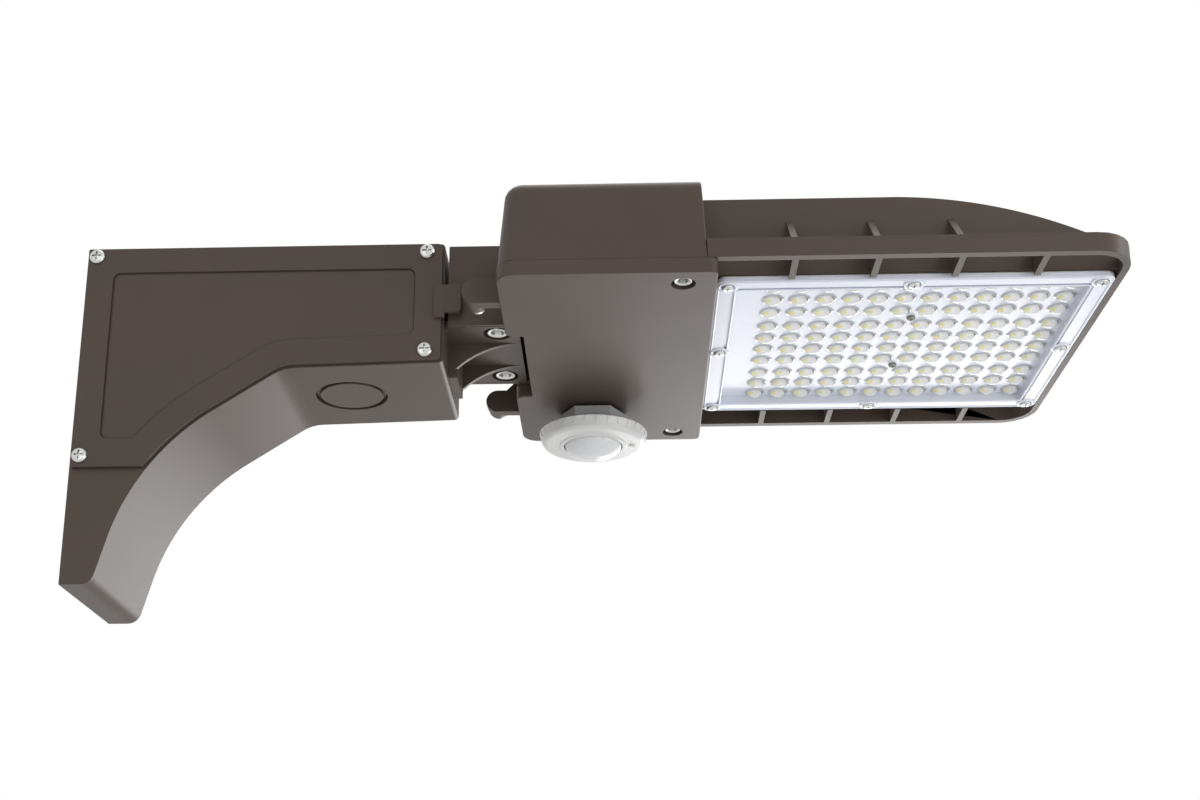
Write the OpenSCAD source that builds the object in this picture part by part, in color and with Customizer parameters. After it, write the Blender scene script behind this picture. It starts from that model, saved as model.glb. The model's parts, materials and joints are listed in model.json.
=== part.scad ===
// Shoebox area light on a swept pole arm.
// The pole's face is the plane X = 0, the arm reaches out along +X and +Z is up.
// The origin is midway between the two pole bolts.

/* [Arm] */
// Reach of the arm from the pole's face to its end wall
arm_reach = 238.5; // [225:0.5:300]
// Width of the arm casting
arm_w = 100; // [90:1:110]
// Height of the arm's top above the middle of the pole bolts
arm_top = 76; // [72:1:82]
// Drop of the arm's foot below the middle of the pole bolts
arm_drop = 156; // [148:1:168]
// Wall of the arm casting
arm_wall = 5; // [4:0.5:6]
// Height of the arm's end wall
arm_end_h = 85; // [80:1:90]
// Extra depth of the arm at the bend of its underside
arm_bend_extra = 2.6; // [0:0.2:5]
// Depth of the arm's foot from back to toe
arm_foot = 20.2; // [18:0.2:26]
// Height of the straight toe above the foot
arm_toe_h = 30.5; // [24:0.5:36]
// Lean of the toe from level, in degrees
arm_toe_angle = 75; // [72:1:78]
// Lean of the underside's slope from level, in degrees
arm_slope_angle = 33; // [30:1:36]
// Radius of the concave sweep under the arm
arm_sweep_r = 147; // [135:1:158]
// Radius of the bend where the underside levels out
arm_bend_r = 27; // [15:1:35]
// Radius of the toe's corner
arm_toe_r = 9; // [4:0.5:12]

/* [Arm fittings] */
// Distance between the two pole bolts
bolt_pitch = 100; // [90:1:110]
// Diameter of a pole bolt's hole
bolt_hole_d = 12; // [9:0.5:14]
// Diameter of the supply wires' hole in the pole wall
entry_d = 28; // [22:1:32]
// Thickness of the side cover
cover_t = 2.6; // [2:0.1:4]
// Thickness of the side cover's gasket
cover_gasket_t = 0.8; // [0.5:0.1:1.5]
// Margin of the side cover inside the casting's edge
cover_margin = 1.5; // [1:0.1:2]
// Height of the side cover's lower edge above the arm's foot
cover_foot_h = 77; // [72:1:84]
// Margin of the pressed panel inside the casting's edge
panel_margin = 19; // [14:0.5:20]
// Depth of the pressed panel
panel_depth = 1.4; // [0.5:0.1:1.8]
// Diameter of a cover screw's shank
cover_screw_d = 5; // [4:0.5:5.5]
// Diameter of a cover screw's pan head
cover_head_d = 10; // [9:0.5:11]
// Outer diameter of the knockout's groove
knockout_d = 48.5; // [40:0.5:50]
// Width of the knockout's groove
knockout_groove = 3.2; // [2:0.1:4]

/* [Saddle] */
// Length of the saddle's pad from the arm's end wall
saddle_len = 50; // [47:0.5:50]
// Thickness of the saddle's pad
saddle_pad_t = 5; // [5:0.5:6]
// Thickness of the saddle's flange on the arm's end wall
saddle_flange_t = 6; // [5:0.5:8]
// Height of the saddle's block inside the neck
saddle_block_h = 15.5; // [14:0.5:19]
// Thickness of each gusset under the saddle
gusset_t = 3.2; // [2.5:0.1:5]
// Distance between the middles of the two gussets
gusset_pitch = 36.4; // [32:0.2:40]
// Diameter of a saddle bolt
saddle_bolt_d = 8; // [6:1:8]
// Distance of a saddle bolt from the arm's side
saddle_bolt_side = 15; // [14.5:0.5:17]

/* [Housing] */
// Gap between the arm's end wall and the neck
light_gap = 2.5; // [1.5:0.5:4]
// Drop of the light's top below the arm's top
light_drop = 1.5; // [0:0.5:4]
// Width of the light
light_w = 275; // [262:1:290]
// Length of the neck behind the driver box
neck_len = 38.5; // [37:0.5:42]
// Height of the driver box above the door
box_h = 56.5; // [54:0.5:64]
// Length of the driver box
box_len = 127; // [120:1:140]
// Wall of the housing
wall = 4; // [3:0.5:5]
// Lean of the box's back and sides over its height
box_lean = 4.5; // [3:0.5:7]
// Radius of the box's back corners
box_r = 11; // [8:1:14]
// Radius of the box's upper back edge
box_top_r = 9; // [7:0.5:12]
// Length of the lamp head in front of the box
head_len = 255.5; // [254:0.5:270]
// Height of the head's rail
rail_h = 12.3; // [10:0.1:15]
// Thickness of the head's side rails
rail_t = 5.5; // [4:0.5:7]
// Thickness of the head's front wall
front_t = 4.5; // [4:0.5:6]
// Plan radius of the head's front corners
head_r = 25; // [18:1:30]
// Gap from each side rail to the heat sink
rail_gap = 25; // [22:0.5:28]
// Height of the heat sink's top above the door's seam
sink_h = 55; // [50:0.5:56]
// Radius of the heat sink's falling top edge
sink_r = 285; // [260:5:310]
// Length of the heat sink's level top
sink_flat = 113.5; // [100:0.5:125]
// Number of cooling fins between the side walls
fin_count = 11; // [7:1:15]
// Thickness of a cooling fin
fin_t = 2.6; // [2:0.2:3.4]
// Number of ribs on each side
rib_count = 4; // [3:1:4]
// Distance between neighbouring ribs
rib_pitch = 49.7; // [45:0.1:50]
// Thickness of a rib
rib_t = 4; // [3:0.5:6]
// Height of a rib at the heat sink's wall, above the door's seam
rib_h = 39; // [30:1:42]

/* [Door] */
// Depth of the door below its seam
door_h = 10; // [8.5:0.5:13]
// Overhang of the door past the box's sides
door_lip = 1; // [0.5:0.5:2]
// Thickness of the door's skin
door_skin = 3; // [2.5:0.1:4]
// Thickness of the door's rim
door_rim = 5; // [4.5:0.1:6]
// Length of the door's notch around the neck
notch_len = 11.5; // [11:0.5:13]
// Gap at the seam between door and housing
seam_gap = 0.6; // [0.4:0.1:1]
// Distance of the hinge's axis behind the box
hinge_back = 16.3; // [15.5:0.1:17.5]
// Distance of each hinge from the light's side
hinge_side = 48; // [45:0.5:52]
// Thickness of a door lug
lug_t = 8; // [6:0.5:9]
// Thickness of a housing ear
ear_t = 7.5; // [6:0.5:9]
// Outer radius of a door lug
lug_r = 8.3; // [7.5:0.1:8.5]
// Diameter of a hinge pin
pin_d = 6; // [5:0.5:7]
// Diameter of a door screw
door_screw_d = 6; // [5:0.5:6]
// Diameter of a door screw's head
door_head_d = 12; // [11:0.5:12.5]

/* [Lens and LEDs] */
// Margin from the door to the lens panel
lens_gap = 1; // [0.6:0.1:2]
// Margin from the light's side to the lens panel
lens_side = 32.5; // [32:0.5:36]
// Thickness of the lens panel's rim
lens_rim_t = 3; // [2.5:0.1:3.4]
// Width of the lens panel's rim
lens_rim_w = 13; // [12:0.5:13]
// Depth of the optic field above the rim's underside
field_depth = 6; // [5:0.5:7]
// Number of LED columns along the head
led_cols = 12; // [8:1:12]
// Number of LED rows on each side of the middle
led_side_rows = 5; // [4:1:5]
// Extra distance between the rows of two blocks
led_block_gap = 3; // [0:0.5:4]
// Diameter of an optic
optic_d = 12; // [9:0.5:12.5]
// Height of an optic
optic_h = 4; // [3:0.5:4.5]
// Diameter of a lens screw's head
lens_head_d = 7.5; // [6:0.5:8]

/* [Sensor] */
// Distance of the sensor from the box's back
sensor_back = 53.5; // [50:0.5:60]
// Distance of the sensor from the light's side
sensor_in = 51.5; // [48:0.5:57]
// Width of the sensor's hex base across its flats
sensor_af = 44.5; // [42:0.5:46]
// Height of the sensor's hex base
sensor_hex_h = 12; // [9:0.5:14]
// Outer radius of the sensor's cap
cap_r = 39; // [36:0.5:42]
// Height of the sensor's cap
cap_h = 10.4; // [9:0.2:13]
// Radius of the cap's rounded lower edge
cap_round = 4; // [2.5:0.5:5]
// Number of grip ribs on the cap
cap_ribs = 30; // [18:1:36]
// Radius of the sensor's dome at its rim
dome_r = 21; // [18:0.5:22]
// Height of the sensor's dome
dome_h = 9; // [7:0.5:11]

/* [Hidden] */
$fn = 48;

// Overrun of a cut, gap between free faces, radial gaps of pins and screws
over = 1;
free_gap = 0.3;
pin_fit = 0.05;
screw_fit = 0.15;
// Radius of a small corner
edge_r = 1;
// Steps in a rounded corner and in a sweep
corner_steps = 6;
sweep_steps = 22;
// Share of a pan head's height that is straight, and a hex socket's share of its screw
pan_edge_share = 0.4;
socket_share = 0.83;

// Height of the arm's underside at its end wall and at its bend
arm_end_z = arm_top - arm_end_h;
arm_bend_z = arm_end_z - arm_bend_extra;
// Top of the toe, centre of the sweep, top of the sweep, and the bend
toe_top = [arm_foot + arm_toe_h / tan(arm_toe_angle), arm_toe_h - arm_drop];
sweep_c = toe_top + arm_sweep_r * [sin(arm_toe_angle), -cos(arm_toe_angle)];
sweep_top = sweep_c - arm_sweep_r * [sin(arm_slope_angle), -cos(arm_slope_angle)];
arm_bend = [sweep_top.x + (arm_bend_z - sweep_top.y) / tan(arm_slope_angle), arm_bend_z];
level_angle = atan(arm_bend_extra / (arm_reach - arm_bend.x));
arm_corner_r = 3;

// Side cover: lower edge, faces, gasket, screws and their bosses
cover_z = cover_foot_h - arm_drop;
cover_back = -arm_w / 2 - cover_gasket_t;
cover_front = cover_back - cover_t;
cover_gasket_in = 0.8;
cover_gasket_w = 2.2;
panel_r = 5;
cover_screw_in = 7.5;
cover_screw_end_in = 11.5;
cover_screw_len = 14;
cover_head_h = 3;
cover_boss_d = 10.5;
cover_boss_len = 20;
cover_screws = [
    [cover_screw_in, arm_top - cover_screw_in],
    [arm_reach - cover_screw_end_in, arm_top - cover_screw_in],
    [arm_reach - cover_screw_end_in, arm_end_z + cover_screw_in],
    [cover_screw_in, cover_z + cover_screw_in]
];

// Knockout in the level underside
knockout_past_bend = 36.6;
knockout_recess = 2.4;
knockout_x = arm_bend.x + knockout_past_bend;
knockout_z = arm_bend_z + knockout_past_bend * tan(level_angle);

// Grommets
grommet_lip = 2.5;
grommet_lip_t = 2;
grommet_wall = 3;
wire_hole_d = 22;

// Planes of the light's parts along X and Z, and its half width
neck_x = arm_reach + light_gap;
box_x = neck_x + neck_len;
head_x = box_x + box_len;
head_end = head_x + head_len;
box_front_lean = 3;
box_front_r = 3;
top_z = arm_top - light_drop;
seam_z = top_z - box_h;
half_w = light_w / 2;

// Saddle: pad in the neck's rim, narrower next to the arm, block inside the neck, gussets
saddle_below = 0.4;
saddle_short = 1.5;
pad_rim = 2.2;
pad_step = 1.4;
pad_step_len = 10.6;
gusset_above_end = 3;
saddle_z = seam_z - saddle_below;
saddle_top = saddle_z + saddle_block_h;
saddle_end = arm_reach + saddle_len - saddle_short;
gusset_z = arm_end_z + gusset_above_end;
gusset_run = saddle_end - arm_reach;
gusset_drop = saddle_z - gusset_z;
gusset_r = (gusset_run * gusset_run + gusset_drop * gusset_drop) / (2 * gusset_drop);
gusset_mid = gusset_pitch / 2;
saddle_bolt_y = arm_w / 2 - saddle_bolt_side;

// Saddle bolts up into the neck, and screws from inside the arm
bolt_past_neck = 31.5;
bolt_head_d = 14.6;
bolt_recess_d = 18.8;
bolt_head_h = 4.2;
bolt_head_in = 0.4;
bolt_grip = 12;
bolt_boss_d = 15;
bolt_x = neck_x + bolt_past_neck;
bolt_seat_z = saddle_z + bolt_head_in + bolt_head_h;
saddle_screw_d = 6;
saddle_screw_bite = 5;
saddle_screw_side = 9;
saddle_screw_below = 9;
saddle_screw_z = saddle_z - saddle_screw_below;
saddle_head_d = 10;
saddle_head_h = 4;

// Neck: half width, underside, wall, and the way for the wires
neck_inset = 1;
neck_drop = 0.4;
neck_wall = 5;
block_gap = 0.5;
door_past_box = 0.5;
door_x = box_x - door_past_box;
notch_x = door_x + notch_len;
neck_half = arm_w / 2 - neck_inset;
neck_z = seam_z - neck_drop;
pad_half = neck_half - pad_rim - block_gap;
pad_step_x = neck_x + pad_step_len;
notch_half = arm_w / 2;
notch_r = 6;
partition_x = notch_x + wall;
wire_z = (saddle_top + top_z - wall) / 2;

// Hook beside the neck that reaches over the arm's cover
hook_len = 17.5;
hook_h = 19.5;
hook_t = 2.5;
hook_foot = 9;
hook_foot_in = 1;
hook_above = 6;
hook_r = 3;
hook_tip_len = 7;
hook_tip_drop = 3.4;

// Hinge
hinge_x = box_x - hinge_back;
hinge_z = seam_z;
lug_sweep = hinge_back - door_past_box - free_gap;
ear_r = 7.5;
ear_web = 12;
ear_root_share = 0.75;
ear_end_x = box_x + wall * ear_root_share;
ear_gap = 0.5;
pin_head_d = 12.5;
pin_head_h = 6;
pin_blind = 1.8;
hinge_sides = [hinge_side - half_w, half_w - hinge_side];

// Rail, heat sink, lens seat and LED pocket
flange_len = 6;
flange_x = head_x + flange_len;
sink_wall = 4;
sink_half = half_w - rail_t - rail_gap;
sink_end = head_end - front_t;
sink_nose = 12.6;
floor_t = 4.4;
lens_gasket_t = 1;
lens_x = flange_x + lens_gap - free_gap;
lens_end = sink_end - free_gap;
lens_w = light_w - 2 * lens_side;
seat_z = seam_z + lens_rim_t + lens_gasket_t;
field_z = seam_z + field_depth;
tray_wall = 2;
tray_t = 2;
board_t = 1.6;
board_in = 3;
chip_t = 0.7;
chip_w = 3;
chip_gap = 1.3;
led_wire_d = 6;
led_wire_side = 30;
floor_z = field_z + tray_t + chip_gap + chip_t + board_t;
pocket_in = lens_rim_w - tray_wall - block_gap;
pocket_r = 2;
head_screw_d = 5;
head_screw_bite = 12;
head_screw_head_d = 9;
head_screw_head_h = 3;
head_screw_outer = 52.5;
head_screw_inner = 92.5;
head_screws_at = [
    for (side = [-1, 1], in = [head_screw_outer, head_screw_inner]) side * (half_w - in)
];
head_screw_z = (seat_z + floor_z) / 2;
rib_first = 52.5;
rib_low_drop = 18;
fin_drop = 2;
sink_top = seam_z + sink_h;

// Lens panel details
lens_r = 6;
lens_groove_in = 3;
lens_groove_w = 2.4;
lens_groove_t = 1;
lens_screw_in = 7.2;
lens_screw_d = 4;
lens_head_h = 2.2;
lens_screw_len = 9;
lens_gasket_in = 0.8;
lens_gasket_w = 3.4;
led_first = 37.8;
led_last = 21;
led_side = 7.1;
led_pitch_x = (lens_end - lens_x - led_first - led_last) / (led_cols - 1);
led_pitch_y = (lens_w / 2 - lens_rim_w - led_side - led_block_gap) / (led_side_rows - 1 / 2);
led_rows = [
    for (side = [-1, 1], row = [0:led_side_rows - 1])
        side * ((row + 1 / 2) * led_pitch_y + (row > 1 ? led_block_gap : 0))
];
board_screw_x = lens_x + led_first + (floor(led_cols / 2) - 1 / 2) * led_pitch_x;
board_screw_side = 2 * led_pitch_y + led_block_gap / 2;
lens_screw_x = [lens_x + lens_screw_in, (lens_x + lens_end) / 2, lens_end - lens_screw_in];
lens_screw_y = lens_w / 2 - lens_screw_in;
lens_screws_at = [
    for (x = lens_screw_x, side = [-1, 1]) [x, side * lens_screw_y],
    for (i = [0, 2]) [lens_screw_x[i], 0]
];

// Door: front edge, corners, screws and gasket
door_end = flange_x;
door_r = 12;
door_front_r = 4.5;
door_screw_back = 20.5;
door_screw_side = 15;
door_screw_x = door_end - door_screw_back;
door_screw_y = half_w - door_screw_side;
door_boss_d = 19;
door_recess_d = 15;
door_head_h = 5.5;
door_head_in = 1.6;
door_screw_reach = 6;
door_screw_len = 14;
post_d = 14;
post_fit = 0.6;
door_gasket_in = 1.4;
door_gasket_w = 2.2;
door_gasket_t = 3;
door_z = seam_z - door_h;
door_top = seam_z - seam_gap;

// Driver, surge protector, terminal block and ground screw, under the roof
roof_z = top_z - wall;
roof_post = 2.5;
driver_x = 38.5;
driver_w = 62;
driver_near = 19.5;
driver_far = 87.5;
driver_l = light_w - driver_near - driver_far;
driver_mid = (driver_near - driver_far) / 2;
driver_h = 34;
driver_tab = 9;
driver_tab_t = 2;
driver_screw_d = 4;
driver_head_d = 8;
driver_head_h = 2.6;
driver_screw_in = 12;
driver_boss_d = 10;
roof_bite = 2;
driver_screws_at = [
    for (x = [driver_screw_in, driver_w - driver_screw_in], side = [-1, 1])
        [box_x + driver_x + x, driver_mid + side * (driver_l + driver_tab) / 2]
];
surge_l = 50;
surge_w = 28;
surge_h = 26;
surge_r = 3;
surge_x = 66;
surge_in = 49.5;
surge_side = half_w - surge_in;
terminal_l = 16;
terminal_w = 34;
terminal_h = 18;
terminal_ports = 3;
terminal_x = 18.5;
terminal_in = 59.5;
terminal_side = terminal_in - half_w;
ground_x = 26;
ground_in = 59.5;
ground_side = half_w - ground_in;
ground_d = 5;
ground_head_d = 9;
ground_head_h = 3.5;
ground_boss_d = 12;
ground_boss_h = 6;

// Sensor
sensor_x = box_x + sensor_back;
sensor_side = half_w - sensor_in;
stem_d = 30;
stem_h = 10;
seal_t = 1.5;
seal_d = 40;
locknut_af = 38;
locknut_h = 6;
hex_z = door_z - seal_t;
cap_top_z = hex_z - sensor_hex_h - free_gap;
cap_taper = 1.6;
cap_wall = 2.6;
cap_edge_r = 1.4;
cap_rib_w = 2.4;
cap_rib_t = 0.5;
cap_rib_low = 0.6;
collar_w = 3;
collar_h = 0.8;
spigot_d = 26;
spigot_h = cap_wall + 2 * free_gap;
spigot_bore_d = 18;
catch_lip = 1.6;
catch_t = 1;
catch_z = hex_z - sensor_hex_h - spigot_h - catch_t;
dome_t = 1.8;
sensor_board_d = 60;
sensor_board_t = 1.6;
sensor_board_z = catch_z - free_gap;
board_ring_w = 3;
element_d = 9.2;
element_h = 4;

// Unit vector of v
function unit(v) = v / norm(v);

// Outline whose corners [x, y, r] are rounded with radius r
function rounded(p) = [
    for (i = [0:len(p) - 1])
        let (
            b = [p[i].x, p[i].y],
            a = p[(i + len(p) - 1) % len(p)],
            c = p[(i + 1) % len(p)],
            u = unit([a.x, a.y] - b),
            v = unit([c.x, c.y] - b),
            half = acos(max(-1, min(1, u * v))) / 2,
            r = p[i][2],
            m = b + unit(u + v) * r / sin(half),
            from = b + u * r / tan(half) - m,
            to = b + v * r / tan(half) - m,
            start = atan2(from.y, from.x),
            turn = atan2(from.x * to.y - from.y * to.x, from * to)
        )
            each r > 0
                ? [for (k = [0:corner_steps]) let (t = start + turn * k / corner_steps)
                    m + r * [cos(t), sin(t)]]
                : [b]
];

// Rectangle from low to high with one radius for each corner, starting at low
function rectangle(low, high, r) = rounded([
    [low.x, low.y, r[0]], [high.x, low.y, r[1]], [high.x, high.y, r[2]], [low.x, high.y, r[3]]
]);

// Point of the arm's sweep at the radius r, a degrees from upright
function on_sweep(a, r) = sweep_c + r * [-sin(a), cos(a)];

// Side outline of the arm at an inset from its faces, down to the height given.
// Every inset keeps the directions of its edges.
function arm_outline(inset, low, foot_r, top_r) =
    let (
        z = low + inset,
        r = arm_sweep_r + inset,
        toe = toe_top + inset * [-sin(arm_toe_angle), cos(arm_toe_angle)],
        whole = z < toe.y,
        first = whole ? arm_toe_angle
            : acos((low + panel_margin - sweep_c.y) / (arm_sweep_r + panel_margin)),
        step = (arm_slope_angle - first) / sweep_steps,
        second = on_sweep(first + step, r),
        chord = on_sweep(first, 1) - on_sweep(first + step, 1),
        start = whole ? on_sweep(first, r) : second + chord * (z - second.y) / chord.y,
        n_slope = [-sin(arm_slope_angle), cos(arm_slope_angle)],
        n_level = [-sin(level_angle), cos(level_angle)],
        bend = arm_bend + inset * (n_slope + n_level) / (1 + n_slope * n_level),
        end_z = arm_end_z + inset / cos(level_angle) - inset * tan(level_angle)
    )
    rounded([
        [inset, z, foot_r],
        if (whole) [toe.x - (toe.y - z) / tan(arm_toe_angle), z, foot_r + arm_toe_r - inset],
        [start.x, start.y, 0],
        for (k = [1:sweep_steps])
            let (p = on_sweep(first + k * step, r))
            [p.x, p.y, 0],
        [bend.x, bend.y, arm_bend_r + inset],
        [arm_reach - inset, end_z, top_r],
        [arm_reach - inset, arm_top - inset, top_r],
        [inset, arm_top - inset, foot_r]
    ]);

// Plan outline of the door at an inset from its edge, with its notch for the neck
function door_outline(inset) =
    let (x0 = door_x + inset, x1 = door_end - inset, y = half_w + door_lip - inset,
        n = notch_half + inset, nx = notch_x + inset)
    rounded([
        [x0, -y, door_r - inset], [x1, -y, max(door_front_r - inset, edge_r)],
        [x1, y, max(door_front_r - inset, edge_r)], [x0, y, door_r - inset],
        [x0, n, max(notch_r - inset, edge_r)], [nx, n, edge_r + inset],
        [nx, -n, edge_r + inset], [x0, -n, max(notch_r - inset, edge_r)]
    ]);

// Side outline of the heat sink at a drop below its top edge, down to the height given
function sink_outline(drop, low) =
    let (
        start = head_x + sink_flat,
        stop = sink_end - sink_nose,
        centre = sink_top - sink_r,
        r = sink_r - drop
    )
    [
        [head_x - wall, low], [sink_end + front_t / 2, low],
        [sink_end + front_t / 2, max(seam_z + rail_h - drop, low + drop)],
        for (k = [0:sweep_steps])
            let (x = stop + (start - stop) * k / sweep_steps)
            [x, centre + sqrt(r * r - (x - start) * (x - start))],
        [head_x - wall, sink_top - drop]
    ];

// A plate of thickness t whose outline lies in XZ, ending at the plane Y = far
module side_plate(far, t) {
    translate([0, far, 0]) rotate([90, 0, 0]) linear_extrude(t) children();
}

// A plate of thickness t whose outline lies in XY, standing on the plane Z = low
module flat_plate(low, t) {
    translate([0, 0, low]) linear_extrude(t) children();
}

// A rod along X from x, at the height z and side y
module rod_x(x, y, z, d, l) {
    translate([x, y, z]) rotate([0, 90, 0]) cylinder(d = d, h = l);
}

// A rod along Y from y towards +Y
module rod_y(x, y, z, d, l) {
    translate([x, y + l, z]) rotate([90, 0, 0]) cylinder(d = d, h = l);
}

// A rod along Z from z upward
module rod_z(x, y, z, d, l) {
    translate([x, y, z]) cylinder(d = d, h = l);
}

// A block between two corners
module block(low, high) {
    translate(low) cube(high - low);
}

// Solid through rings of points of equal length, each counter-clockwise seen from the last
module stack(rings) {
    n = len(rings[0]);
    m = len(rings);
    polyhedron(
        points = [for (ring = rings) each ring],
        faces = concat(
            [[for (i = [0:n - 1]) i]],
            [[for (i = [n - 1:-1:0]) (m - 1) * n + i]],
            [for (k = [0:m - 2], i = [0:n - 1])
                [k * n + (i + 1) % n, k * n + i, k * n + n + i, k * n + n + (i + 1) % n]]
        )
    );
}

// Rubber bushing in a wall along X, with a lip on each face of the wall
module grommet(x, z, d, t) {
    translate([x, 0, z]) rotate([0, 90, 0])
        rotate_extrude() polygon([
            [d / 2 - grommet_wall, -grommet_lip_t], [d / 2 + grommet_lip, -grommet_lip_t],
            [d / 2 + grommet_lip, 0], [d / 2, 0], [d / 2, t], [d / 2 + grommet_lip, t],
            [d / 2 + grommet_lip, t + grommet_lip_t], [d / 2 - grommet_wall, t + grommet_lip_t]
        ]);
}

// Hexagonal prism of the width given across its flats, with a flat facing -Y
module hex(af, h) {
    cylinder(d = af / cos(30), h = h, $fn = 6);
}

// Hollow swept casting, open on its near side, with the pole wall at X = 0
module arm_bracket() {
    color("#5b504a") difference() {
        union() {
            difference() {
                side_plate(arm_w / 2, arm_w)
                    polygon(arm_outline(0, -arm_drop, 0, arm_corner_r));
                side_plate(arm_w / 2 - arm_wall, arm_w)
                    polygon(arm_outline(arm_wall, cover_z, edge_r, edge_r));
            }
            intersection() {
                for (p = cover_screws)
                    rod_y(p.x, -arm_w / 2, p.y, cover_boss_d, cover_boss_len);
                side_plate(arm_w / 2, arm_w)
                    polygon(arm_outline(arm_wall / 2, cover_z - arm_wall, edge_r, edge_r));
            }
        }
        for (p = cover_screws)
            rod_y(p.x, -arm_w / 2 - over, p.y, cover_screw_d + 2 * screw_fit,
                cover_screw_len + 2 * over);
        for (side = [-1, 1])
            rod_x(-over, 0, side * bolt_pitch / 2, bolt_hole_d, arm_wall + 2 * over);
        rod_x(-over, 0, 0, entry_d, arm_wall + 2 * over);
        rod_x(arm_reach - arm_wall - over, 0, wire_z, wire_hole_d, arm_wall + 2 * over);
        for (side = [-1, 1])
            rod_x(arm_reach - arm_wall - over, side * saddle_screw_side, saddle_screw_z,
                saddle_screw_d + 2 * screw_fit, arm_wall + 2 * over);
        translate([knockout_x, 0, knockout_z]) rotate([0, -level_angle, 0])
            translate([0, 0, -over])
                cylinder(d = knockout_d, h = arm_wall + 2 * over);
    }
}

// Flat gasket under the side cover's edge
module arm_gasket() {
    outer = cover_margin + cover_gasket_in;
    color("#2a2a2a") side_plate(-arm_w / 2, cover_gasket_t) difference() {
        polygon(arm_outline(outer, cover_z - cover_margin, edge_r, edge_r));
        polygon(arm_outline(outer + cover_gasket_w, cover_z - cover_margin, edge_r, edge_r));
    }
}

// Side cover with a shallow pressed panel and four screw holes
module arm_cover() {
    color("#4e4540") difference() {
        side_plate(cover_back, cover_t)
            polygon(arm_outline(cover_margin, cover_z - cover_margin, edge_r, arm_corner_r));
        side_plate(cover_front + panel_depth, panel_depth + over)
            polygon(arm_outline(panel_margin, cover_z, panel_r, panel_r));
        for (p = cover_screws)
            rod_y(p.x, cover_front - over, p.y, cover_screw_d + 2 * screw_fit, cover_t + 2 * over);
    }
}

// Pan-head screws of the side cover
module arm_cover_screws() {
    color("#d8d8d6") for (p = cover_screws) {
        rod_y(p.x, cover_front, p.y, cover_screw_d, cover_t + cover_screw_len);
        translate([p.x, cover_front, p.y]) rotate([90, 0, 0]) pan_head(cover_head_d, cover_head_h);
    }
}

// Low domed screw head standing on Z = 0
module pan_head(d, h) {
    edge = h * pan_edge_share;
    r = (d * d / 4 + (h - edge) * (h - edge)) / (2 * (h - edge));
    cylinder(d = d, h = edge);
    intersection() {
        translate([0, 0, h - r]) sphere(r);
        cylinder(d = d, h = h);
    }
}

// Plug that closes the knockout, its middle level with the underside
module knockout_plug() {
    disc_d = knockout_d - 2 * knockout_groove;
    color("#5b504a") translate([knockout_x, 0, knockout_z]) rotate([0, -level_angle, 0]) {
        translate([0, 0, knockout_recess])
            cylinder(d = knockout_d - 2 * free_gap, h = arm_wall - knockout_recess);
        cylinder(d = disc_d, h = arm_wall);
    }
}

// Grommets of the supply entry and of the arm's end wall
module entry_grommet() {
    color("#1d1d1d") rotate([0, 90, 0]) rotate_extrude() polygon([
        [entry_d / 2 - grommet_wall, 0], [entry_d / 2, 0], [entry_d / 2, arm_wall],
        [entry_d / 2 + grommet_lip, arm_wall],
        [entry_d / 2 + grommet_lip, arm_wall + grommet_lip_t],
        [entry_d / 2 - grommet_wall, arm_wall + grommet_lip_t]
    ]);
}

module outlet_grommet() {
    color("#1d1d1d") grommet(arm_reach - arm_wall, wire_z, wire_hole_d, arm_wall);
}

// Plan of the saddle's pad or of its seat in the neck, wider by grow on each side
module pad_plan(low, t, grow) {
    wide = pad_half + grow;
    narrow = wide - pad_step;
    flat_plate(low, t) polygon([
        [arm_reach, -narrow], [pad_step_x - grow, -narrow], [pad_step_x - grow, -wide],
        [saddle_end + grow, -wide], [saddle_end + grow, wide],
        [pad_step_x - grow, wide], [pad_step_x - grow, narrow], [arm_reach, narrow]
    ]);
}

// Shelf on the arm's end wall: pad, block inside the neck, flange and two curved gussets
module saddle() {
    color("#5b504a") difference() {
        union() {
            pad_plan(saddle_z, saddle_pad_t, 0);
            block([neck_x + neck_wall + block_gap, -neck_half + neck_wall + block_gap, saddle_z],
                [saddle_end, neck_half - neck_wall - block_gap, saddle_top]);
            block([arm_reach, -gusset_mid, gusset_z],
                [arm_reach + saddle_flange_t, gusset_mid, saddle_z + saddle_pad_t / 2]);
            for (side = [-1, 1]) difference() {
                block([arm_reach, side * gusset_mid - gusset_t / 2, gusset_z],
                    [saddle_end, side * gusset_mid + gusset_t / 2, saddle_z + saddle_pad_t / 2]);
                rod_y(saddle_end, side * gusset_mid - gusset_t / 2 - over,
                    saddle_z - gusset_r, 2 * gusset_r, gusset_t + 2 * over);
            }
        }
        for (side = [-1, 1]) {
            rod_z(bolt_x, side * saddle_bolt_y, saddle_z - over, bolt_recess_d,
                bolt_seat_z - saddle_z + over);
            rod_z(bolt_x, side * saddle_bolt_y, saddle_z, saddle_bolt_d + 2 * screw_fit,
                saddle_block_h + over);
            rod_x(arm_reach - over, side * saddle_screw_side, saddle_screw_z,
                saddle_screw_d + 2 * screw_fit, saddle_screw_bite + over);
        }
    }
}

// Screws that hold the saddle's flange from inside the arm
module saddle_screws() {
    color("#b9bab8") for (side = [-1, 1]) {
        rod_x(arm_reach - arm_wall, side * saddle_screw_side, saddle_screw_z, saddle_screw_d,
            arm_wall + saddle_screw_bite - free_gap);
        rod_x(arm_reach - arm_wall - saddle_head_h, side * saddle_screw_side, saddle_screw_z,
            saddle_head_d, saddle_head_h);
    }
}

// Socket-head screw pointing up, with its seat at Z = 0
module socket_screw(d, l, head_d, head_h) {
    cylinder(d = d, h = l);
    translate([0, 0, -head_h]) difference() {
        cylinder(d = head_d, h = head_h);
        translate([0, 0, -over]) hex(d * socket_share, head_h / 2 + over);
    }
}

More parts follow.
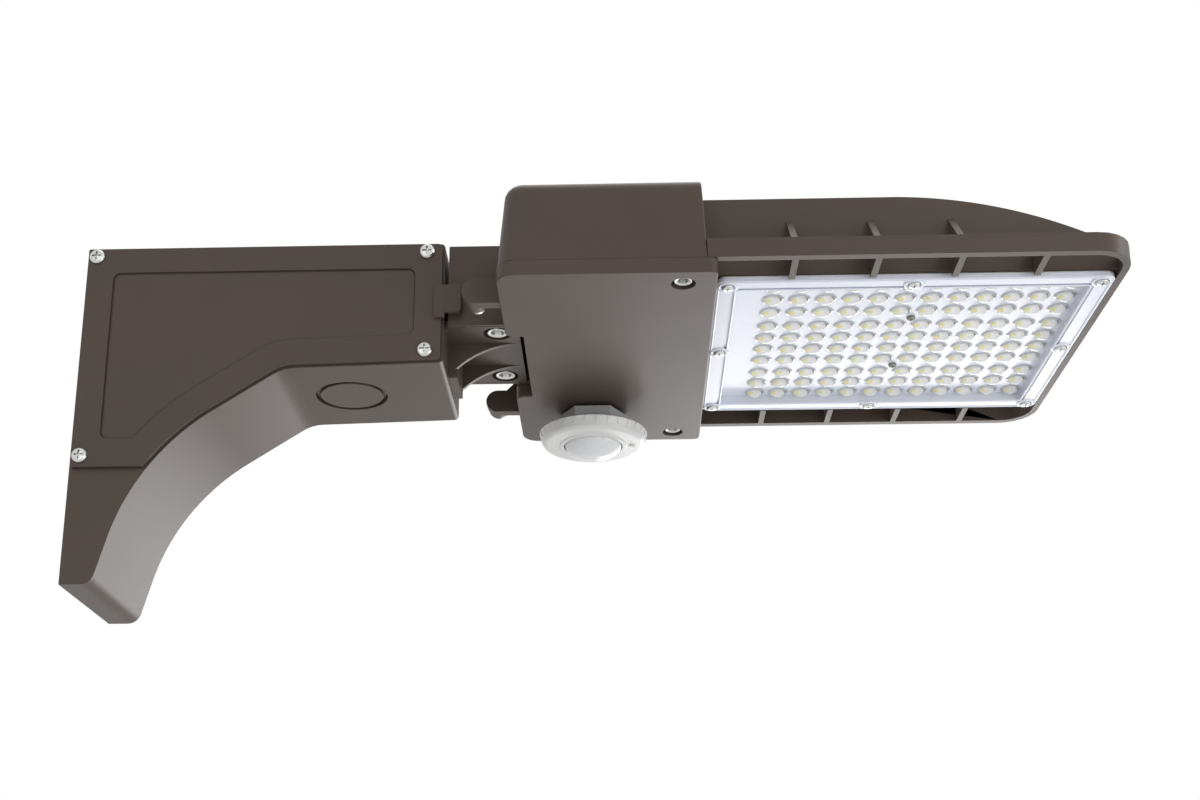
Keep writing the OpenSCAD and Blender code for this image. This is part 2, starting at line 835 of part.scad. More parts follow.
// Bolts that hold the neck on the saddle
module saddle_bolts() {
    color("#c9cac8") for (side = [-1, 1])
        translate([bolt_x, side * saddle_bolt_y, bolt_seat_z])
            socket_screw(saddle_bolt_d, saddle_top - bolt_seat_z + bolt_grip,
                bolt_head_d, bolt_head_h);
}

// Hook on the neck's side that laps over the arm's end, for hanging the light while wiring
module hang_hook() {
    x0 = neck_x + hook_foot - hook_len;
    z0 = seam_z + hook_above;
    lap = cover_front - free_gap;
    color("#4e4540") union() {
        side_plate(lap, hook_t) polygon(rounded([
            [x0, z0 - hook_tip_drop, edge_r], [x0 + hook_tip_len, z0 - hook_tip_drop, edge_r],
            [x0 + hook_tip_len, z0, 0], [x0 + hook_len, z0, hook_r],
            [x0 + hook_len, z0 + hook_h, edge_r], [x0, z0 + hook_h, edge_r]
        ]));
        block([neck_x + hook_foot_in, lap - hook_t / 2, z0 + hook_foot_in],
            [x0 + hook_len - hook_foot_in, -neck_half, z0 + hook_h - hook_foot_in]);
    }
}

// Inset of a rounded upper edge of radius r at the height z under the top
function edge_inset(z, top, r) =
    z > top - r ? r - sqrt(max(0, r * r - (z - top + r) * (z - top + r))) : 0;

// Plan ring of the leaning driver box at the height z, inside its faces by inset
function box_ring(inset, z) =
    let (
        share = (z - seam_z) / box_h,
        top = top_z - inset,
        back = inset + box_lean * share + edge_inset(z, top, box_top_r - inset),
        front = inset + box_front_lean * share + edge_inset(z, top, box_front_r),
        r = box_r - inset - edge_inset(z, top, box_top_r - inset)
    )
    [for (p = rectangle([box_x + back, -half_w + back], [head_x - front, half_w - back],
        [r, edge_r, edge_r, r])) [p.x, p.y, z]];

// Leaning box with rounded upper edges, from the height low
module box_solid(inset, low) {
    r = box_top_r - inset;
    stack([
        box_ring(inset, low),
        for (k = [0:corner_steps]) box_ring(inset, top_z - inset - r + r * sin(90 * k / corner_steps))
    ]);
}

// One side rib, its top falling from the heat sink to the rail
module rib(x, side, top) {
    translate([x - rib_t / 2, 0, 0]) rotate([90, 0, 90]) linear_extrude(rib_t) polygon([
        [side * sink_half, seat_z],
        [side * sink_half, seam_z],
        [side * (half_w - rail_t / 2), seam_z],
        [side * (half_w - rail_t / 2), seam_z + rail_h - over],
        [side * sink_half, seam_z + top],
        [side * (sink_half - sink_wall / 2), seam_z + top],
        [side * (sink_half - sink_wall / 2), seat_z]
    ]);
}

// Ear on the box's back that carries a hinge pin, with a web rising into the back wall
module ear(plane) {
    y0 = plane + ear_gap / 2;
    rise = ear_end_x - hinge_x;
    rod_y(hinge_x, y0, hinge_z, 2 * ear_r, ear_t);
    side_plate(y0 + ear_t, ear_t) polygon([
        [hinge_x, hinge_z - ear_web / 2], [ear_end_x, hinge_z + rise - ear_web / 2],
        [ear_end_x, hinge_z + rise + ear_web / 2], [hinge_x, hinge_z + ear_web / 2]
    ]);
}

// Neck and driver box, open below, with the bosses and posts inside
module housing() {
    color("#5b504a") difference() {
        union() {
            difference() {
                box_solid(0, seam_z);
                box_solid(wall, seam_z - over);
            }
            for (plane = hinge_sides) ear(plane);
            block([neck_x, -neck_half, neck_z],
                [notch_x - free_gap, neck_half, seam_z + over]);
            block([neck_x, -neck_half, seam_z],
                [box_x + box_lean + box_top_r + over, neck_half, top_z]);
            block([notch_x, -notch_half - wall, seam_z],
                [partition_x, notch_half + wall, roof_z + over]);
            block([box_x + wall / 2, -notch_half - wall, seam_z],
                [notch_x + over, notch_half + wall, neck_z + wall]);
            for (side = [-1, 1]) rod_z(door_screw_x, side * door_screw_y, seam_z, post_d,
                roof_z - seam_z + over);
            for (p = driver_screws_at)
                rod_z(p.x, p.y, roof_z - roof_post, driver_boss_d, roof_post + over);
            rod_z(box_x + ground_x, ground_side, roof_z - ground_boss_h, ground_boss_d,
                ground_boss_h + over);
        }
        neck_hollow();
        neck_cuts();
        for (side = [-1, 1])
            rod_z(door_screw_x, side * door_screw_y, seam_z - over,
                door_screw_d + 2 * post_fit, door_screw_len + over);
        for (plane = hinge_sides)
            rod_y(hinge_x, plane - over, hinge_z, pin_d + 2 * pin_fit, ear_t + 2 * over);
        for (p = driver_screws_at)
            rod_z(p.x, p.y, roof_z - roof_post - over, driver_screw_d + 2 * screw_fit,
                roof_post + roof_bite + over);
        rod_z(box_x + ground_x, ground_side, roof_z - ground_boss_h - over,
            ground_d + 2 * screw_fit, ground_boss_h + roof_bite + over);
        for (y = head_screws_at)
            rod_x(head_x - 2 * wall, y, head_screw_z, head_screw_head_d + 2 * free_gap, wall);
        head_screw_holes();
        led_wire_hole();
    }
}

// Bores of the screws between the driver box and the lamp head
module head_screw_holes() {
    for (y = head_screws_at)
        rod_x(head_x - 2 * wall, y, head_screw_z, head_screw_d + 2 * screw_fit,
            2 * wall + head_screw_bite);
}

// Way of the LED wires from the driver box into the LED pocket
module led_wire_hole() {
    rod_x(head_x - 2 * wall, led_wire_side, head_screw_z, led_wire_d,
        2 * wall + lens_x + pocket_in - head_x + over);
}

// Lamp head: rails, side ribs and finned heat sink, against the driver box's leaning front
module lamp_head() {
    color("#5b504a") difference() {
        union() {
            rails();
            heat_sink();
        }
        side_plate(half_w + over, light_w + 2 * over) polygon([
            [box_x, seam_z - over], [head_x + over * box_front_lean / box_h, seam_z - over],
            [head_x - box_front_lean, top_z], [box_x, top_z]
        ]);
        for (p = lens_screws_at)
            rod_z(p.x, p.y, seat_z - over, lens_screw_d + 2 * screw_fit, lens_screw_len + over);
        for (side = [-1, 1])
            rod_z(board_screw_x, side * board_screw_side, floor_z - over,
                lens_screw_d + 2 * screw_fit, floor_t / 2 + 2 * over);
        head_screw_holes();
        led_wire_hole();
    }
}

// Screws from inside the driver box into the lamp head
module head_screws() {
    color("#c9cac8") for (y = head_screws_at) {
        rod_x(head_x - wall, y, head_screw_z, head_screw_d, wall + head_screw_bite - free_gap);
        rod_x(head_x - wall - head_screw_head_h, y, head_screw_z, head_screw_head_d,
            head_screw_head_h);
    }
}

// Hollow of the neck around the saddle's block, with the two bolt bosses left standing
module neck_hollow() {
    difference() {
        union() {
            block([neck_x + neck_wall, -neck_half + neck_wall, neck_z - over],
                [notch_x, neck_half - neck_wall, roof_z]);
            pad_plan(neck_z - over, saddle_z + saddle_pad_t + block_gap - neck_z + over, block_gap);
        }
        for (side = [-1, 1])
            rod_z(bolt_x, side * saddle_bolt_y, saddle_top, bolt_boss_d, roof_z);
    }
}

module neck_cuts() {
    rod_x(neck_x - over, 0, wire_z, wire_hole_d, neck_wall + 2 * over);
    rod_x(partition_x - wall - over, 0, wire_z, wire_hole_d, wall + 2 * over);
    for (side = [-1, 1])
        rod_z(bolt_x, side * saddle_bolt_y, saddle_top - over,
            saddle_bolt_d + 2 * screw_fit, bolt_grip + 2 * over);
}

// Rail round the head, and the flange that joins it to the box
module rails() {
    difference() {
        flat_plate(seam_z, rail_h) polygon(rectangle([head_x - wall / 2, -half_w],
            [head_end, half_w], [0, head_r, head_r, 0]));
        flat_plate(seam_z - over, rail_h + 2 * over) polygon(rectangle(
            [flange_x, -half_w + rail_t], [sink_end, half_w - rail_t],
            [edge_r, head_r - rail_t, head_r - rail_t, edge_r]));
    }
}

// Heat sink: floor with the LED pocket, side walls, fins and side ribs
module heat_sink() {
    fin_pitch = 2 * (sink_half - sink_wall / 2) / (fin_count + 1);
    difference() {
        block([flange_x - over, -sink_half, seat_z],
            [sink_end + over, sink_half, floor_z + floor_t]);
        flat_plate(seat_z - over, floor_z - seat_z + over) polygon(rectangle(
            [lens_x + pocket_in, -lens_w / 2 + pocket_in],
            [lens_end - pocket_in, lens_w / 2 - pocket_in], pocket_r * [1, 1, 1, 1]));
    }
    for (side = [-1, 1])
        side_plate(side * (sink_half - sink_wall / 2) + sink_wall / 2, sink_wall)
            polygon(sink_outline(0, floor_z));
    for (k = [1:fin_count])
        side_plate(-sink_half + sink_wall / 2 + k * fin_pitch + fin_t / 2, fin_t)
            polygon(sink_outline(fin_drop, floor_z + floor_t / 2));
    for (side = [-1, 1], k = [0:rib_count - 1])
        rib(head_x + rib_first + k * rib_pitch, side,
            k < rib_count - 1 ? rib_h : rib_h - rib_low_drop);
}

module neck_grommet() {
    color("#1d1d1d") grommet(partition_x - wall, wire_z, wire_hole_d, wall);
}

// Potted LED driver with a tab at each end
module led_driver() {
    x0 = box_x + driver_x;
    y0 = driver_mid - driver_l / 2;
    top = roof_z - roof_post;
    color("#c7c9c6") union() {
        block([x0, y0, top - driver_h], [x0 + driver_w, y0 + driver_l, top]);
        difference() {
            block([x0, y0 - driver_tab, top - driver_tab_t],
                [x0 + driver_w, y0 + driver_l + driver_tab, top]);
            for (p = driver_screws_at) rod_z(p.x, p.y, top - driver_tab_t - over,
                driver_screw_d + 2 * screw_fit, driver_tab_t + 2 * over);
        }
    }
}

// Screws of the driver, up into the roof
module driver_screws() {
    top = roof_z - roof_post;
    color("#c9cac8") for (p = driver_screws_at) {
        rod_z(p.x, p.y, top - driver_tab_t, driver_screw_d,
            driver_tab_t + roof_post + roof_bite - free_gap);
        rod_z(p.x, p.y, top - driver_tab_t - driver_head_h, driver_head_d, driver_head_h);
    }
}

// Surge protector against the roof
module surge_protector() {
    x0 = box_x + surge_x - surge_w / 2;
    y0 = surge_side - surge_l / 2;
    color("#30343a") flat_plate(roof_z - surge_h, surge_h) polygon(rectangle([x0, y0],
        [x0 + surge_w, y0 + surge_l], surge_r * [1, 1, 1, 1]));
}

// Terminal block for the supply wires, with its wire ports
module terminal_block() {
    x0 = box_x + terminal_x;
    y0 = terminal_side - terminal_w / 2;
    pitch = terminal_w / terminal_ports;
    color("#d9dad6") difference() {
        block([x0, y0, roof_z - terminal_h], [x0 + terminal_l, y0 + terminal_w, roof_z]);
        for (k = [0:terminal_ports - 1])
            rod_z(x0 + terminal_l / 2, y0 + pitch * (k + 1 / 2), roof_z - terminal_h - over,
                pitch / 2, terminal_h / 2 + over);
    }
}

// Green screw for the ground wire
module ground_screw() {
    z = roof_z - ground_boss_h;
    color("#3f7d4c") {
        rod_z(box_x + ground_x, ground_side, z - ground_head_h / 2, ground_d,
            ground_head_h / 2 + ground_boss_h + roof_bite - free_gap);
        rod_z(box_x + ground_x, ground_side, z - ground_head_h, ground_head_d, ground_head_h);
    }
}

// Board that carries the LEDs on the heat sink's floor
module led_board() {
    in = pocket_in + board_in;
    color("#f0f0ee") difference() {
        flat_plate(floor_z - board_t, board_t) polygon(rectangle(
            [lens_x + in, -lens_w / 2 + in], [lens_end - in, lens_w / 2 - in], edge_r * [1, 1, 1, 1]));
        for (side = [-1, 1])
            rod_z(board_screw_x, side * board_screw_side, floor_z - board_t - over,
                lens_screw_d + 2 * screw_fit, board_t + 2 * over);
    }
}

// Rows and columns of the optics
module each_led() {
    for (col = [0:led_cols - 1], y = led_rows)
        translate([lens_x + led_first + col * led_pitch_x, y, 0]) children();
}

module led_chips() {
    z = floor_z - board_t - chip_t;
    color("#f2d35c") each_led()
        block([-chip_w / 2, -chip_w / 2, z], [chip_w / 2, chip_w / 2, z + chip_t]);
}

// Rounded outline of the lens panel at an inset
function lens_plan(inset) = rectangle([lens_x + inset, -lens_w / 2 + inset],
    [lens_end - inset, lens_w / 2 - inset], max(lens_r - inset, edge_r) * [1, 1, 1, 1]);

module lens_gasket() {
    color("#e4e4e0") flat_plate(seat_z - lens_gasket_t, lens_gasket_t) difference() {
        polygon(lens_plan(lens_gasket_in));
        polygon(lens_plan(lens_gasket_in + lens_gasket_w));
    }
}

// Clear panel: grooved rim, raised tray wall, and a field of domed optics
module lens_panel() {
    r = (optic_d * optic_d / 4 + optic_h * optic_h) / (2 * optic_h);
    color("#dfe6f2") difference() {
        union() {
            flat_plate(seam_z, lens_rim_t) difference() {
                polygon(lens_plan(0));
                polygon(lens_plan(lens_rim_w));
            }
            flat_plate(seam_z, field_depth + tray_t) difference() {
                polygon(lens_plan(lens_rim_w - tray_wall));
                polygon(lens_plan(lens_rim_w));
            }
            flat_plate(field_z, tray_t) polygon(lens_plan(lens_rim_w - tray_wall));
            each_led() translate([0, 0, field_z + tray_t / 2]) mirror([0, 0, 1])
                intersection() {
                    translate([0, 0, optic_h + tray_t / 2 - r]) sphere(r);
                    cylinder(d = optic_d, h = optic_h + tray_t);
                }
        }
        flat_plate(seam_z - over, lens_groove_t + over) difference() {
            polygon(lens_plan(lens_rim_w - lens_groove_in));
            polygon(lens_plan(lens_rim_w - lens_groove_in + lens_groove_w));
        }
        for (p = lens_screws_at)
            rod_z(p.x, p.y, seam_z - over, lens_screw_d + 2 * screw_fit, lens_rim_t + 2 * over);
        for (side = [-1, 1])
            rod_z(board_screw_x, side * board_screw_side, field_z - over,
                lens_screw_d + 2 * screw_fit, tray_t + 2 * over);
    }
}

module lens_screws() {
    color("#d8d8d6") for (p = lens_screws_at) {
        rod_z(p.x, p.y, seam_z, lens_screw_d, lens_rim_t + lens_gasket_t + lens_screw_len - over);
        translate([p.x, p.y, seam_z]) mirror([0, 0, 1]) pan_head(lens_head_d, lens_head_h);
    }
}

module board_screws() {
    color("#d8d8d6") for (side = [-1, 1]) translate([board_screw_x, side * board_screw_side, 0]) {
        translate([0, 0, field_z]) cylinder(d = lens_screw_d, h = floor_z - field_z + floor_t / 2);
        translate([0, 0, field_z]) mirror([0, 0, 1]) pan_head(lens_head_d, lens_head_h);
    }
}

// Shoulder screws that the door turns on
module hinge_pins() {
    color("#c9cac8") for (plane = hinge_sides) {
        y_head = plane + ear_gap / 2 + ear_t;
        y_tip = plane - ear_gap / 2 - lug_t + pin_blind + free_gap;
        rod_y(hinge_x, y_tip, hinge_z, pin_d, y_head - y_tip + over);
        rod_y(hinge_x, y_head, hinge_z, pin_head_d, pin_head_h);
    }
}

// Lug of the door beside a housing ear, with a blind bore for the pin
module lug(plane) {
    y0 = plane - ear_gap / 2 - lug_t;
    rod_y(hinge_x, y0, hinge_z, 2 * lug_r, lug_t);
    block([hinge_x, y0, hinge_z - lug_r], [door_x + door_rim / 2, y0 + lug_t, door_top]);
    intersection() {
        rod_y(hinge_x, y0, hinge_z, 2 * lug_sweep, lug_t);
        block([hinge_x, y0, door_top - over], [door_x, y0 + lug_t, hinge_z + lug_r]);
    }
}

// Door under the driver box: skin, rim, lugs and screw bosses
module driver_door() {
    color("#645a54") difference() {
        union() {
            flat_plate(door_z, door_skin) polygon(door_outline(0));
            flat_plate(door_z, door_top - door_z) difference() {
                polygon(door_outline(0));
                polygon(door_outline(door_rim));
            }
            for (plane = hinge_sides) lug(plane);
            for (side = [-1, 1])
                rod_z(door_screw_x, side * door_screw_y, door_z, door_boss_d, door_top - door_z);
        }
        flat_plate(door_top - door_gasket_t + free_gap, door_gasket_t) difference() {
            polygon(door_outline(door_gasket_in));
            polygon(door_outline(door_gasket_in + door_gasket_w));
        }
        for (side = [-1, 1]) {
            rod_z(door_screw_x, side * door_screw_y, door_z - over, door_recess_d,
                door_head_in + door_head_h + over);
            rod_z(door_screw_x, side * door_screw_y, door_z, door_screw_d + 2 * screw_fit,
                door_h + over);
        }
        for (plane = hinge_sides)
            rod_y(hinge_x, plane - ear_gap / 2 - lug_t + pin_blind, hinge_z,
                pin_d + 2 * pin_fit, lug_t);
        rod_z(sensor_x, sensor_side, door_z - over, stem_d + 2 * screw_fit, door_skin + 2 * over);
    }
}

module door_gasket() {
    color("#2a2a2a") flat_plate(door_top - door_gasket_t + free_gap, door_gasket_t) difference() {
        polygon(door_outline(door_gasket_in));
        polygon(door_outline(door_gasket_in + door_gasket_w));
    }
}

module door_screws() {
    color("#c9cac8") for (side = [-1, 1])
        translate([door_screw_x, side * door_screw_y, door_z + door_head_in + door_head_h])
            socket_screw(door_screw_d, door_top - door_z - door_head_in - door_head_h
                + door_screw_reach, door_head_d, door_head_h);
}

module sensor_seal() {
    color("#1d1d1d") difference() {
        rod_z(sensor_x, sensor_side, hex_z, seal_d, seal_t);
        rod_z(sensor_x, sensor_side, hex_z - over, stem_d + 2 * screw_fit, seal_t + 2 * over);
    }
}

// Hex base with a hollow stem through the door and a spigot into the cap
module sensor_base() {
    color("#8f9090") translate([sensor_x, sensor_side, 0]) difference() {
        union() {
            translate([0, 0, hex_z - sensor_hex_h]) hex(sensor_af, sensor_hex_h);
            rod_z(0, 0, hex_z, stem_d, seal_t + door_skin + locknut_h + stem_h);
            rod_z(0, 0, hex_z - sensor_hex_h - spigot_h, spigot_d, spigot_h);
            rod_z(0, 0, catch_z, spigot_d + 2 * catch_lip, catch_t);
        }
        rod_z(0, 0, catch_z - over, spigot_bore_d, hex_z - catch_z + seal_t + door_skin
            + locknut_h + stem_h + 2 * over);
    }
}

module sensor_locknut() {
    color("#77797a") translate([sensor_x, sensor_side, door_z + door_skin]) difference() {
        hex(locknut_af, locknut_h);
        translate([0, 0, -over]) cylinder(d = stem_d + 2 * screw_fit, h = locknut_h + 2 * over);
    }
}

// Radius of the cap's side at the height z above its face
function cap_side_r(z) =
    cap_r - cap_taper * (cap_h - cap_edge_r - z) / (cap_h - cap_edge_r - cap_round);

// Ribbed cap with a rounded lower edge, open below inside the dome's collar
module sensor_cap() {
    low_r = cap_side_r(cap_round);
    rib_z0 = cap_round + cap_rib_low;
    rib_z1 = cap_h - cap_edge_r - cap_rib_low;
    color("#d8d8d6") translate([sensor_x, sensor_side, cap_top_z - cap_h]) {
        rotate_extrude() polygon([
            [dome_r + free_gap, -collar_h], [dome_r + collar_w, -collar_h],
            [dome_r + collar_w + collar_h, 0],
            for (k = [0:corner_steps]) let (t = 90 * k / corner_steps)
                [low_r - cap_round + cap_round * sin(t), cap_round - cap_round * cos(t)],
            [cap_r, cap_h - cap_edge_r], [cap_r - cap_edge_r, cap_h],
            [spigot_d / 2 + free_gap, cap_h], [spigot_d / 2 + free_gap, cap_h - cap_wall],
            [cap_r - cap_wall - cap_edge_r, cap_h - cap_wall],
            [low_r - cap_wall, cap_round], [low_r - cap_round, cap_wall],
            [dome_r + free_gap, cap_wall]
        ]);
        rotate_extrude() translate([sensor_board_d / 2 - board_ring_w, sensor_board_z - cap_top_z + cap_h])
            square([board_ring_w, cap_top_z - sensor_board_z - cap_wall / 2]);
        for (k = [0:cap_ribs - 1]) rotate([90, 0, 360 * k / cap_ribs])
            linear_extrude(cap_rib_w, center = true) polygon([
                [low_r - cap_wall / 2, rib_z0], [cap_side_r(rib_z0) + cap_rib_t, rib_z0],
                [cap_side_r(rib_z1) + cap_rib_t, rib_z1], [low_r - cap_wall / 2, rib_z1]
            ]);
    }
}

// Board and sensing element inside the cap
module sensor_board() {
    z = sensor_board_z - sensor_board_t;
    color("#3c6b49") translate([sensor_x, sensor_side, 0]) {
        rod_z(0, 0, z, sensor_board_d, sensor_board_t);
        rod_z(0, 0, z - element_h, element_d, element_h + sensor_board_t / 2);
    }
}

// Hollow domed lens with a lip inside the cap
module sensor_dome() {
    z = cap_top_z - cap_h;
    r = (dome_r * dome_r + dome_h * dome_h) / (2 * dome_h);
    color("#eef1f4") translate([sensor_x, sensor_side, z]) {
        difference() {
            intersection() {
                translate([0, 0, r - dome_h]) sphere(r);
                rod_z(0, 0, -dome_h, 2 * dome_r, dome_h + cap_wall);
            }
            translate([0, 0, r - dome_h]) sphere(r - dome_t);
            rod_z(0, 0, 0, 2 * (dome_r - dome_t), cap_wall + over);
        }
    }
}

arm_bracket();
arm_gasket();
arm_cover();
arm_cover_screws();
knockout_plug();
entry_grommet();
outlet_grommet();
saddle();
saddle_screws();
saddle_bolts();
hang_hook();
housing();
lamp_head();
head_screws();
neck_grommet();
led_driver();
driver_screws();
surge_protector();
terminal_block();
ground_screw();
led_board();
led_chips();
lens_gasket();
lens_panel();
lens_screws();
board_screws();
hinge_pins();
driver_door();
door_gasket();
door_screws();
sensor_seal();
sensor_base();
sensor_locknut();
sensor_board();
sensor_cap();
sensor_dome();
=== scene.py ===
"""Looks of a shoebox area light on a swept pole arm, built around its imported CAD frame."""

import json
import math

import bmesh
import bpy
from bpy.props import FloatProperty, FloatVectorProperty, IntProperty, PointerProperty, StringProperty
from mathutils import Matrix, Vector

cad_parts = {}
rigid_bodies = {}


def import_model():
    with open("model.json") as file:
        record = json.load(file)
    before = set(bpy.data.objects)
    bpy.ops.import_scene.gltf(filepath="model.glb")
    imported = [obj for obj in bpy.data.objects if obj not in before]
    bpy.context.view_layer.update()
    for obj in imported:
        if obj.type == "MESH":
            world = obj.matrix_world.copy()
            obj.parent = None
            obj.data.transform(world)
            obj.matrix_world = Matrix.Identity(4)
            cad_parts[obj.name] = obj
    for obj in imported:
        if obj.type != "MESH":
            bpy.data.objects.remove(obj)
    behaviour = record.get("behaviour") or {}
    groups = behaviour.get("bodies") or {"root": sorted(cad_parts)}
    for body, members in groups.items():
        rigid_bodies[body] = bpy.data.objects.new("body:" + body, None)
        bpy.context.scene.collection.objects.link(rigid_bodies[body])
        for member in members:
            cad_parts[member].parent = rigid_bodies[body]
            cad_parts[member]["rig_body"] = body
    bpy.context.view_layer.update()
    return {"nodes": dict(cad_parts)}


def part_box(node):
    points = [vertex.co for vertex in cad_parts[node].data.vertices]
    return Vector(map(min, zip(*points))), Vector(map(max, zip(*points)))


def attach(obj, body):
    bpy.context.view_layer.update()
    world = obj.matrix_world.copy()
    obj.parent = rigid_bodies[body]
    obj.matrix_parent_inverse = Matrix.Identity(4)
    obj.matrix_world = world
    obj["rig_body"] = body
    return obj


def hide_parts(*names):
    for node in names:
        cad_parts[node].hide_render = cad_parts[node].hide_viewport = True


bl_info = {
    "name": "Shoebox Area Light",
    "version": (1, 0, 0),
    "blender": (4, 5, 0),
    "location": "3D View > Sidebar > Area Light",
    "description": "Dresses the packed area light with its finishes, screws, lens and sensor",
    "category": "Object",
}

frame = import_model()
NODES = frame["nodes"]
MM = 0.001

# Points nearer than WELD are one point, and places nearer than LEVEL are level
WELD = 0.01 * MM
LEVEL = 0.1 * MM

# Faces that meet below this angle are one flat face
FLAT_ANGLE = math.radians(0.6)

# Edges sharper than these are rounded, the second on the door and the arm
SHARP_ANGLE = math.radians(32)
LONG_EDGE_ANGLE = math.radians(50)

# Shading runs smoothly over edges below this angle
CREASE_ANGLE = math.radians(40)


# Small helpers


def linear(hex_colour):
    """An sRGB hex colour as linear RGBA."""
    parts = [int(hex_colour[i : i + 2], 16) / 255 for i in (1, 3, 5)]
    return tuple(c / 12.92 if c <= 0.04045 else ((c + 0.055) / 1.055) ** 2.4 for c in parts) + (1.0,)


def add_node(tree, kind, values=None, links=None, **settings):
    """Adds a node with its settings, socket values and links from other nodes' sockets."""
    made = tree.nodes.new(kind)
    for key, value in settings.items():
        setattr(made, key, value)
    for socket, value in (values or {}).items():
        made.inputs[socket].default_value = value
    for socket, source in (links or {}).items():
        tree.links.new(source, made.inputs[socket])
    return made


def new_material(name, values):
    """A material with one Principled BSDF holding the values, and its node tree and shader."""
    material = bpy.data.materials.new(name)
    material.use_nodes = True
    tree = material.node_tree
    shader = tree.nodes["Principled BSDF"]
    for socket, value in values.items():
        shader.inputs[socket].default_value = value
    return material, tree, shader


def tints(hex_colour, *shares):
    """Darker and paler shares of one sRGB hex colour, as linear RGBA."""
    base = linear(hex_colour)[:3]
    return [tuple(min(c * share, 1.0) for c in base) + (1.0,) for share in shares]


def welded(node):
    """A CAD node's mesh as an editable shape."""
    shape = bmesh.new()
    shape.from_mesh(NODES[node].data)
    bmesh.ops.remove_doubles(shape, verts=shape.verts, dist=WELD)
    return shape


def flatten(shape):
    """Joins neighbouring faces that lie in one plane."""
    bmesh.ops.dissolve_limit(shape, angle_limit=FLAT_ANGLE, verts=shape.verts, edges=shape.edges)


def cad_shape(node):
    """A CAD node's mesh as an editable shape, its flat faces joined."""
    shape = welded(node)
    flatten(shape)
    return shape


def ease(shape, width, segments=2, angle=SHARP_ANGLE, chosen=None):
    """Rounds the edges sharper than angle, or the chosen ones of them, by width."""
    sharp = [
        e
        for e in shape.edges
        if len(e.link_faces) == 2
        and e.calc_face_angle(0) > angle
        and (chosen is None or chosen(e))
    ]
    bmesh.ops.bevel(
        shape,
        geom=sharp,
        offset=width,
        offset_type="OFFSET",
        segments=segments,
        profile=0.5,
        affect="EDGES",
        clamp_overlap=True,
        miter_outer="ARC",
    )


def finished(shape, node, materials, name=None, replaces=True):
    """Turns a shape into a shaded piece on the node's body, by default in the node's place."""
    name = name or node + "_eased"
    mesh = bpy.data.meshes.new(name)
    shape.to_mesh(mesh)
    shape.free()
    mesh.shade_smooth()
    mesh.set_sharp_from_angle(angle=CREASE_ANGLE)
    made = bpy.data.objects.new(name, mesh)
    bpy.context.scene.collection.objects.link(made)
    mesh.materials.clear()
    for each in materials if isinstance(materials, list) else [materials]:
        mesh.materials.append(each)
    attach(made, NODES[node]["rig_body"])
    weighted = made.modifiers.new("even shading", "WEIGHTED_NORMAL")
    weighted.keep_sharp = True
    if replaces:
        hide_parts(node)
    return made


def eased_copy(node, material, width):
    """A copy of a CAD node whose sharp edges are rounded by width, shown in the node's place."""
    shape = cad_shape(node)
    ease(shape, width)
    return finished(shape, node, material)


def islands(node):
    """Lowest and highest corner of each loose solid of a CAD node."""
    shape = welded(node)
    boxes, seen = [], set()
    for vert in shape.verts:
        if vert in seen:
            continue
        group, open_list = [], [vert]
        seen.add(vert)
        while open_list:
            here = open_list.pop()
            group.append(here.co.copy())
            for edge in here.link_edges:
                other = edge.other_vert(here)
                if other not in seen:
                    seen.add(other)
                    open_list.append(other)
        boxes.append(
            (
                Vector(min(p[i] for p in group) for i in range(3)),
                Vector(max(p[i] for p in group) for i in range(3)),
            )
        )
    shape.free()
    return boxes


def middles(node):
    """Middle of each loose solid of a CAD node."""
    return [(low + high) / 2 for low, high in islands(node)]


def box_middle(node):
    """Middle of a CAD node's box."""
    low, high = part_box(node)
    return (Vector(low) + Vector(high)) / 2


def revolve(shape, profile, steps, place):
    """Adds a turned solid about Z, moved by a matrix, and returns its faces ring by ring.

    The profile holds (radius, height) points. A radius may be a function of the turn, for a
    socket or a cross.
    """
    rings = []
    for radius, height in profile:
        if radius == 0:
            rings.append([shape.verts.new((0, 0, height))])
            continue
        ring = []
        for k in range(steps):
            turn = 2 * math.pi * k / steps
            r = radius(turn) if callable(radius) else radius
            ring.append(shape.verts.new((r * math.cos(turn), r * math.sin(turn), height)))
        rings.append(ring)
    faces = []
    for low, high in zip(rings, rings[1:]):
        for k in range(steps):
            a, b = low[k % len(low)], low[(k + 1) % len(low)]
            c, d = high[(k + 1) % len(high)], high[k % len(high)]
            corners = [v for i, v in enumerate((a, b, c, d)) if v not in (a, b, c, d)[:i]]
            if len(corners) > 2:
                faces.append(shape.faces.new(corners))
    for ring, turned in ((rings[0], True), (rings[-1], False)):
        if len(ring) > 2:
            faces.append(shape.faces.new(list(reversed(ring)) if turned else ring))
    verts = {v for ring in rings for v in ring}
    bmesh.ops.transform(shape, matrix=place, verts=list(verts))
    return faces


# Sizes and colours


